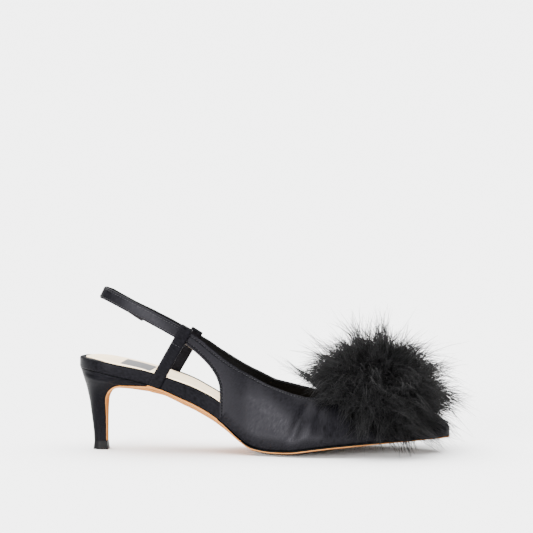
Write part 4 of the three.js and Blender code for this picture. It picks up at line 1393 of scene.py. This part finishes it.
def stitches(cloth, line, outs):
    steps = np.linalg.norm(np.diff(line, axis=0), axis=1)
    run = np.concatenate([[0], np.cumsum(steps)])
    count = int((run[-1] - STITCH_LONG) / STITCH_PITCH)
    turn = np.linspace(0, 2 * math.pi, STITCH_SIDES + 1)[:, None]

    def at(distance, values):
        return np.array([np.interp(distance, run, values[:, k]) for k in range(3)])

    for k in range(count + 1):
        rings = []
        for share, sink, scale in STITCH_RINGS:
            place = STITCH_PITCH * k + FIRST_STITCH + STITCH_LONG * share
            out = unit(at(place, outs))
            way = unit(at(place + WAY_REACH, line) - at(place - WAY_REACH, line))
            across = unit(np.cross(out, way))
            centre = at(place, line) + out * (STITCH_LIFT - sink * STITCH_THICK)
            rings.append(centre + STITCH_THICK / 2 * scale * (np.cos(turn) * out + np.sin(turn) * across))
        cloth.grid(np.array(rings))


# Where the seams start and end, in wall lines, and how far they lie from the edges of the straps
SEAM_FROM = 0.25
TOP_SEAM_TO = THROAT_LINE - 0.6
LOW_SEAM_TO = WAIST_LINE - 0.15
SEAM_STEPS = 260
RISER_SEAM_IN = 0.9
RISER_SEAM_LOW = 2.6
RISER_SEAM_STEPS = 20
SLING_SEAM_IN = 1.35


def upper_seam(side, line_to, from_top):
    lines = np.linspace(SEAM_FROM, line_to, SEAM_STEPS)
    lengths = wall_lengths(lines, side)
    share = 1 - STITCH_DEPTH / lengths if from_top else STITCH_DEPTH / lengths
    points = upper_point(lines, share, side, 0)
    outs = unit(points - upper_point(lines, share, side, OUT_STEP))
    return points, outs


def stitching():
    cloth = Cloth()
    for side in SIDES:
        stitches(cloth, *upper_seam(side, TOP_SEAM_TO, True))
        stitches(cloth, *upper_seam(side, LOW_SEAM_TO, False))
    for side in SIDES:
        reach, slot_half = riser_reach(side)
        half = RISER_WIDTH / 2 - RISER_SEAM_IN
        w = np.linspace(-half, half, RISER_SEAM_STEPS)
        s = 0 * w + reach - slot_half - RISER_SEAM_LOW
        face = riser_place(side, 0 * w - RISER_WALL, s, w)
        stitches(cloth, face, face - riser_place(side, 0 * w, s, w))
    points, up, out = sling_line()
    for sign in (-1, 1):
        height = sign * (STRAP_WIDTH / 2 - SLING_SEAM_IN)
        stitches(cloth, points + up * height + out * (STRAP_WALL / 2), out)
    cloth.piece("stitching", [THREAD], "satin")


# Pompom: a dense ruffled heart with thousands of fine barbs in locks
POM_CENTRE = np.array([place_along(POM_ALONG), POM_TURN, POM_CENTRE_HEIGHT])
POM_FRONT_GROWS = (-0.9, 0.5)


def pom_radius(direction):
    front = smooth_step(*POM_FRONT_GROWS, direction[..., 0])
    upward = direction[..., 2] > 0
    drop = mix(POM_BACK_DROP, POM_FRONT_DROP, front)
    fullness = np.where(upward, 2, mix(2, POM_SKIRT, front))
    high = np.where(upward, POM_RISE, drop)
    total = (
        np.abs(direction[..., 0] / (POM_LENGTH / 2)) ** fullness
        + np.abs(direction[..., 1] / (POM_WIDTH / 2)) ** fullness
        + np.abs(direction[..., 2] / high) ** fullness
    )
    return 1 / total ** (1 / fullness)


# The part of the vamp that feathers are kept out of, and how they are moved out of it
KEEP_OUT_FROM = 60
KEEP_OUT_TO = TIP_X - 0.5
KEEP_OUT_BELOW = 2
NARROWEST = 0.5
BARB_ROOM = 0.5
MOVES_OUT = 3
MOVE_POWER = -0.46
SMALLEST_LEVEL = 1e-3


# Moves points that would lie inside the vamp out to its surface, with some room
def outside_vamp(points, room=BARB_ROOM):
    x = points[..., 0]
    inside_length = (x < KEEP_OUT_TO) & (x > KEEP_OUT_FROM)
    half = np.maximum(half_width(np.minimum(x, KEEP_OUT_TO), 0), NARROWEST) + room
    crown = ridge(x) + room
    dy = points[..., 1] - middle(x)
    dz = points[..., 2] - feather(x)
    out = points.copy()
    for _ in range(MOVES_OUT):
        level = (np.abs(dy) / half) ** (2 / SIDE_FULLNESS) + (np.maximum(dz, 0) / crown) ** 2
        within = inside_length & (level < 1) & (dz > -KEEP_OUT_BELOW)
        grow = np.where(within, np.maximum(level, SMALLEST_LEVEL) ** MOVE_POWER, 1)
        dy = dy * grow
        dz = np.where(dz > 0, dz * grow, dz)
    out[..., 1] = middle(x) + dy
    out[..., 2] = feather(x) + dz
    return out


# The heart: its depth under the feathers, its room over the vamp, and its two sets of ruffles
HEART_DEPTH = 10
HEART_ROOM = 0.6
HEART_ROWS = 60
HEART_COLUMNS = 96
RUFFLE = {"deep": 0.04, "turns": 9, "twist": 5, "rows": 7}
FINE_RUFFLE = {"deep": 0.03, "turns": 17, "twist": -11}


def pom_heart():
    polar = np.linspace(0, math.pi, HEART_ROWS + 1)[:, None]
    turn = np.linspace(0, 2 * math.pi, HEART_COLUMNS + 1)[None, :]
    direction = stack(np.sin(polar) * np.cos(turn), np.sin(polar) * np.sin(turn), np.cos(polar) + 0 * turn)
    ruffle = RUFFLE["deep"] * np.sin(RUFFLE["turns"] * turn + RUFFLE["twist"] * polar)
    fine = FINE_RUFFLE["deep"] * np.sin(FINE_RUFFLE["turns"] * turn + FINE_RUFFLE["twist"] * polar)
    ruffle = ruffle * np.sin(RUFFLE["rows"] * polar) + fine
    radius = (pom_radius(direction) - HEART_DEPTH) * (1 + ruffle * np.sin(polar) ** 0.5)
    points = outside_vamp(direction * radius[..., None] + POM_CENTRE, HEART_ROOM)
    points[:, -1] = points[:, 0]
    cloth = Cloth()
    cloth.grid(points)
    cloth.piece("pom_heart", [FEATHER_BLACK], "feathers", ["pompom"])


# Barbs: thin three-sided threads. Each starts inside the heart, and curls and droops as it thins.
BARB_LOW = np.array([100, -67, 1.2])
BARB_HIGH = np.array([253, 72, 98])
SHORTENED = 0.62
BARB_SEGMENTS = 4
BARB_SIDES = 3
BARB_TAPER = 0.85
BARB_TAPER_POWER = 1.8

# A direction that few barbs follow, to turn their sections by
SECTION_HELPER = np.array([0.31, 0.22, 0.925])


def barbs(name, material, roots, ways, bends, lengths, widths):
    count = len(roots)
    tips = roots + (ways + bends) * lengths[:, None]
    outside = np.any((tips < BARB_LOW) | (tips > BARB_HIGH), axis=1)
    lengths = np.where(outside, SHORTENED * lengths, lengths)
    t = np.linspace(0, 1, BARB_SEGMENTS + 1)
    travel = lengths[:, None] * t[None]
    centres = roots[:, None] + ways[:, None] * travel[..., None]
    centres = centres + bends[:, None] * (lengths[:, None] * t[None] ** 2)[..., None]
    centres = outside_vamp(centres)
    centres = np.clip(centres, BARB_LOW, BARB_HIGH)
    tangent = unit(np.gradient(centres, axis=1))
    first = unit(np.cross(tangent, SECTION_HELPER))
    second = np.cross(tangent, first)
    radius = widths[:, None] / 2 * (1 - BARB_TAPER * t[None] ** BARB_TAPER_POWER)
    turn = 2 * math.pi * np.arange(BARB_SIDES) / BARB_SIDES
    ring = (
        centres[:, :, None]
        + first[:, :, None] * (radius[..., None] * np.cos(turn))[..., None]
        + second[:, :, None] * (radius[..., None] * np.sin(turn))[..., None]
    )
    points = ring.reshape(-1, 3) * MM
    per = (BARB_SEGMENTS + 1) * BARB_SIDES
    local = []
    for k in range(BARB_SEGMENTS):
        for j in range(BARB_SIDES):
            a = k * BARB_SIDES + j
            b = k * BARB_SIDES + (j + 1) % BARB_SIDES
            local.append([a, b, b + BARB_SIDES])
            local.append([a, b + BARB_SIDES, a + BARB_SIDES])
    local.append([0, 2, 1])
    end = BARB_SEGMENTS * BARB_SIDES
    local.append([end, end + 1, end + 2])
    faces = (np.array(local)[None] + (np.arange(count) * per)[:, None, None]).reshape(-1, 3)
    mesh = bpy.data.meshes.new(name)
    mesh.vertices.add(len(points))
    mesh.vertices.foreach_set("co", points.reshape(-1))
    mesh.loops.add(faces.size)
    mesh.loops.foreach_set("vertex_index", faces.reshape(-1))
    mesh.polygons.add(len(faces))
    mesh.polygons.foreach_set("loop_start", np.arange(0, faces.size, 3))
    mesh.update(calc_edges=True)
    finished_piece(name, mesh, [material])


GOLDEN_TURN = 2.399963
TURN_JITTER = 0.5


# Directions spread over the pompom, from its top down to its skirt
def spread_directions(rng, count, lowest):
    height = 1 - (1 - math.cos(lowest)) * (np.arange(count) + rng.random(count)) / count
    turn = GOLDEN_TURN * np.arange(count) + rng.random(count) * TURN_JITTER
    flat = np.sqrt(np.clip(1 - height ** 2, 0, 1))
    return stack(flat * np.cos(turn), flat * np.sin(turn), height)


# Locks: what a lock's length starts from and is spread by, and how much of it depends on its place
LOCK_SHORTEST = 0.55
LOCK_SPREAD = 0.75
LOCK_SPREAD_POWER = 1.5
TALLER_ON_TOP = 0.3
SHORTER_AT_THROAT = 0.7
THROAT_BACK = (0, 0.7)
THROAT_HIGH = (-0.2, 0.3)

# A lock's bend to the side and its droop, and how far its tip is sunk
LOCK_BEND_LEAST = 0.1
LOCK_BEND_SPREAD = 0.4
LOCK_DROOP = 0.22
TIP_SINK = 5.0

# The barbs of a lock: how far apart their roots are and how deep, and the spread of their shares
ROOT_SPREAD = 0.16
ROOT_DEPTH = 13.0
ROOT_LEAST = 0.3
ROOT_MORE = 0.9
REACH_LEAST = 0.62
REACH_MORE = 0.5
BEND_LEAST = 0.6
BEND_MORE = 0.8
BEND_STRAY = 0.1
WIDTH_LEAST = 0.6
WIDTH_MORE = 0.7


# Barbs gathered into locks: they start spread over a patch of the heart and meet near the lock's tip
def lock_barbs(rng, locks, each, length, loose, lowest, width):
    lock_way = spread_directions(rng, locks, lowest)
    lock_length = length * (LOCK_SHORTEST + LOCK_SPREAD * rng.random(locks) ** LOCK_SPREAD_POWER)
    upward = np.clip(lock_way[:, 2], 0, 1) ** 2
    low_back = smooth_step(*THROAT_BACK, -lock_way[:, 0]) * (1 - smooth_step(*THROAT_HIGH, lock_way[:, 2]))
    lock_length = lock_length * (1 + TALLER_ON_TOP * upward) * (1 - SHORTER_AT_THROAT * low_back)
    side = unit(np.cross(lock_way, rng.normal(size=(locks, 3))))
    lock_bend = side * (LOCK_BEND_LEAST + LOCK_BEND_SPREAD * rng.random((locks, 1)))
    lock_bend = lock_bend + np.array([0, 0, -LOCK_DROOP])
    own = np.repeat(np.arange(locks), each)
    total = len(own)
    jitter = rng.normal(size=(total, 3))
    root_way = unit(lock_way[own] + ROOT_SPREAD * jitter)
    depth = ROOT_DEPTH * (ROOT_LEAST + ROOT_MORE * rng.random(total))
    roots = root_way * (pom_radius(root_way) - depth)[:, None] + POM_CENTRE
    tip_radius = pom_radius(lock_way[own]) - TIP_SINK + lock_length[own]
    tips = lock_way[own] * tip_radius[:, None] + POM_CENTRE
    tips = tips + rng.normal(size=(total, 3)) * loose
    reach = tips - roots
    lengths = np.linalg.norm(reach, axis=1)
    share = REACH_LEAST + REACH_MORE * rng.random(total)
    ways = reach / lengths[:, None]
    bends = lock_bend[own] * (BEND_LEAST + BEND_MORE * rng.random((total, 1)))
    bends = bends + BEND_STRAY * rng.normal(size=(total, 3))
    widths = width * (WIDTH_LEAST + WIDTH_MORE * rng.random(total))
    return roots, ways, bends, lengths * share, widths


# Loose strands that hang from the pompom over the vamp, most of them on its outer side, towards the sole
STRANDS = 70
STRAND_PLACES = (168, 224)
STRAND_TOPS = (20, 42)
STRAND_WIDTHS = (0.26, 0.42)
STRAND_LENGTHS = (0.5, 1.0)
OUTER_SHARE = 0.75
STRAND_SIDE = 0.8
STRAND_OFF = 4
STRAND_STRAY = 0.25
STRAND_OUTWARDS = 0.12
STRAND_BEND = 0.12
STRAND_END = 3


def hanging_strands(rng):
    x = mix(*STRAND_PLACES, rng.random(STRANDS))
    side = np.where(rng.random(STRANDS) < OUTER_SHARE, -1, 1)
    top_height = mix(*STRAND_TOPS, rng.random(STRANDS))
    y = middle(x) + side * (half_width(x) * STRAND_SIDE + STRAND_OFF)
    roots = stack(x, y, top_height)
    ways = unit(stack(STRAND_STRAY * rng.normal(size=STRANDS), STRAND_OUTWARDS * side, -1 + 0 * x))
    bends = STRAND_BEND * rng.normal(size=(STRANDS, 3))
    lengths = (top_height - STRAND_END) * mix(*STRAND_LENGTHS, rng.random(STRANDS))
    return roots, ways, bends, lengths, mix(*STRAND_WIDTHS, rng.random(STRANDS))


# Locks of each kind: their number, the barbs in each, how far they stand out, how loose their tips are,
# how far down they go (an angle from the top), and the width of a barb
LOCK_KINDS = [
    ("pom_down", FEATHER_BLACK, 560, 12, 4.0, 2.2, 2.45, 0.5),
    ("pom_locks", FEATHER_BLACK, 240, 31, 19.0, 0.45, 2.3, 0.46),
    ("pom_wisps", FEATHER_QUILL, 250, 8, 25.0, 1.3, 2.0, 0.48),
]


def pompom():
    rng = np.random.default_rng(SEED)
    pom_heart()
    for name, material, *sizes in LOCK_KINDS:
        barbs(name, material, *lock_barbs(rng, *sizes))
    barbs("pom_strands", FEATHER_QUILL, *hanging_strands(rng))


# Photograph's camera, plain floor and soft light
def camera():
    data = bpy.data.cameras.new("camera")
    data.sensor_width = SENSOR_WIDTH
    data.lens = FOCAL_PIXELS * SENSOR_WIDTH / PHOTO_SIDE
    data.clip_start = CLIP_NEAR
    data.clip_end = CLIP_FAR
    eye = bpy.data.objects.new("camera", data)
    eye.location = CAMERA_PLACE
    look = Vector((
        -math.sin(CAMERA_YAW) * math.cos(CAMERA_DOWN),
        math.cos(CAMERA_YAW) * math.cos(CAMERA_DOWN),
        -math.sin(CAMERA_DOWN),
    ))
    eye.rotation_mode = "QUATERNION"
    eye.rotation_quaternion = look.to_track_quat("-Z", "Y")
    bpy.context.scene.collection.objects.link(eye)
    bpy.context.scene.camera = eye


# Half the floor's side, in metres, and its colour
FLOOR_REACH = 120
FLOOR_GREY = (0.86, 0.86, 0.86)


def floor():
    mesh = bpy.data.meshes.new("floor")
    turns = ((-1, -1), (1, -1), (1, 1), (-1, 1))
    corners = [(FLOOR_REACH * x, FLOOR_REACH * y, 0) for x, y in turns]
    mesh.from_pydata(corners, [], [(0, 1, 2, 3)])
    ground = bpy.data.objects.new("floor", mesh)
    mesh.materials.append(new_material("pale_floor", FLOOR_GREY, 0.8, Specular_IOR_Level=0.1))
    bpy.context.scene.collection.objects.link(ground)


WORLD_STRENGTH = 0.6

# Strength, then spread, azimuth and height in degrees
SUNS = [
    ("overhead", 16.0, 96, -150, 80),
    ("left_front", 10.5, 28, -24, 8),
]


def sun(name, strength, spread, azimuth, height):
    data = bpy.data.lights.new(name, "SUN")
    data.energy = strength
    data.angle = math.radians(spread)
    lamp = bpy.data.objects.new(name, data)
    a = math.radians(azimuth)
    h = math.radians(height)
    back = Vector((math.sin(a) * math.cos(h), -math.cos(a) * math.cos(h), math.sin(h)))
    lamp.rotation_mode = "QUATERNION"
    lamp.rotation_quaternion = back.to_track_quat("Z", "Y")
    bpy.context.scene.collection.objects.link(lamp)


def lights():
    world = bpy.data.worlds.new("studio")
    world.use_nodes = True
    shade = world.node_tree.nodes["Background"]
    shade.inputs["Color"].default_value = (1, 1, 1, 1)
    shade.inputs["Strength"].default_value = WORLD_STRENGTH
    bpy.context.scene.world = world
    for values in SUNS:
        sun(*values)


camera()
floor()
lights()
insole_rand()
sock()
patch()
sole()
heel_cover()
lift()
vamp()
sling()
sling_tail()
for side in SIDES:
    riser(side)
stitching()
pompom()
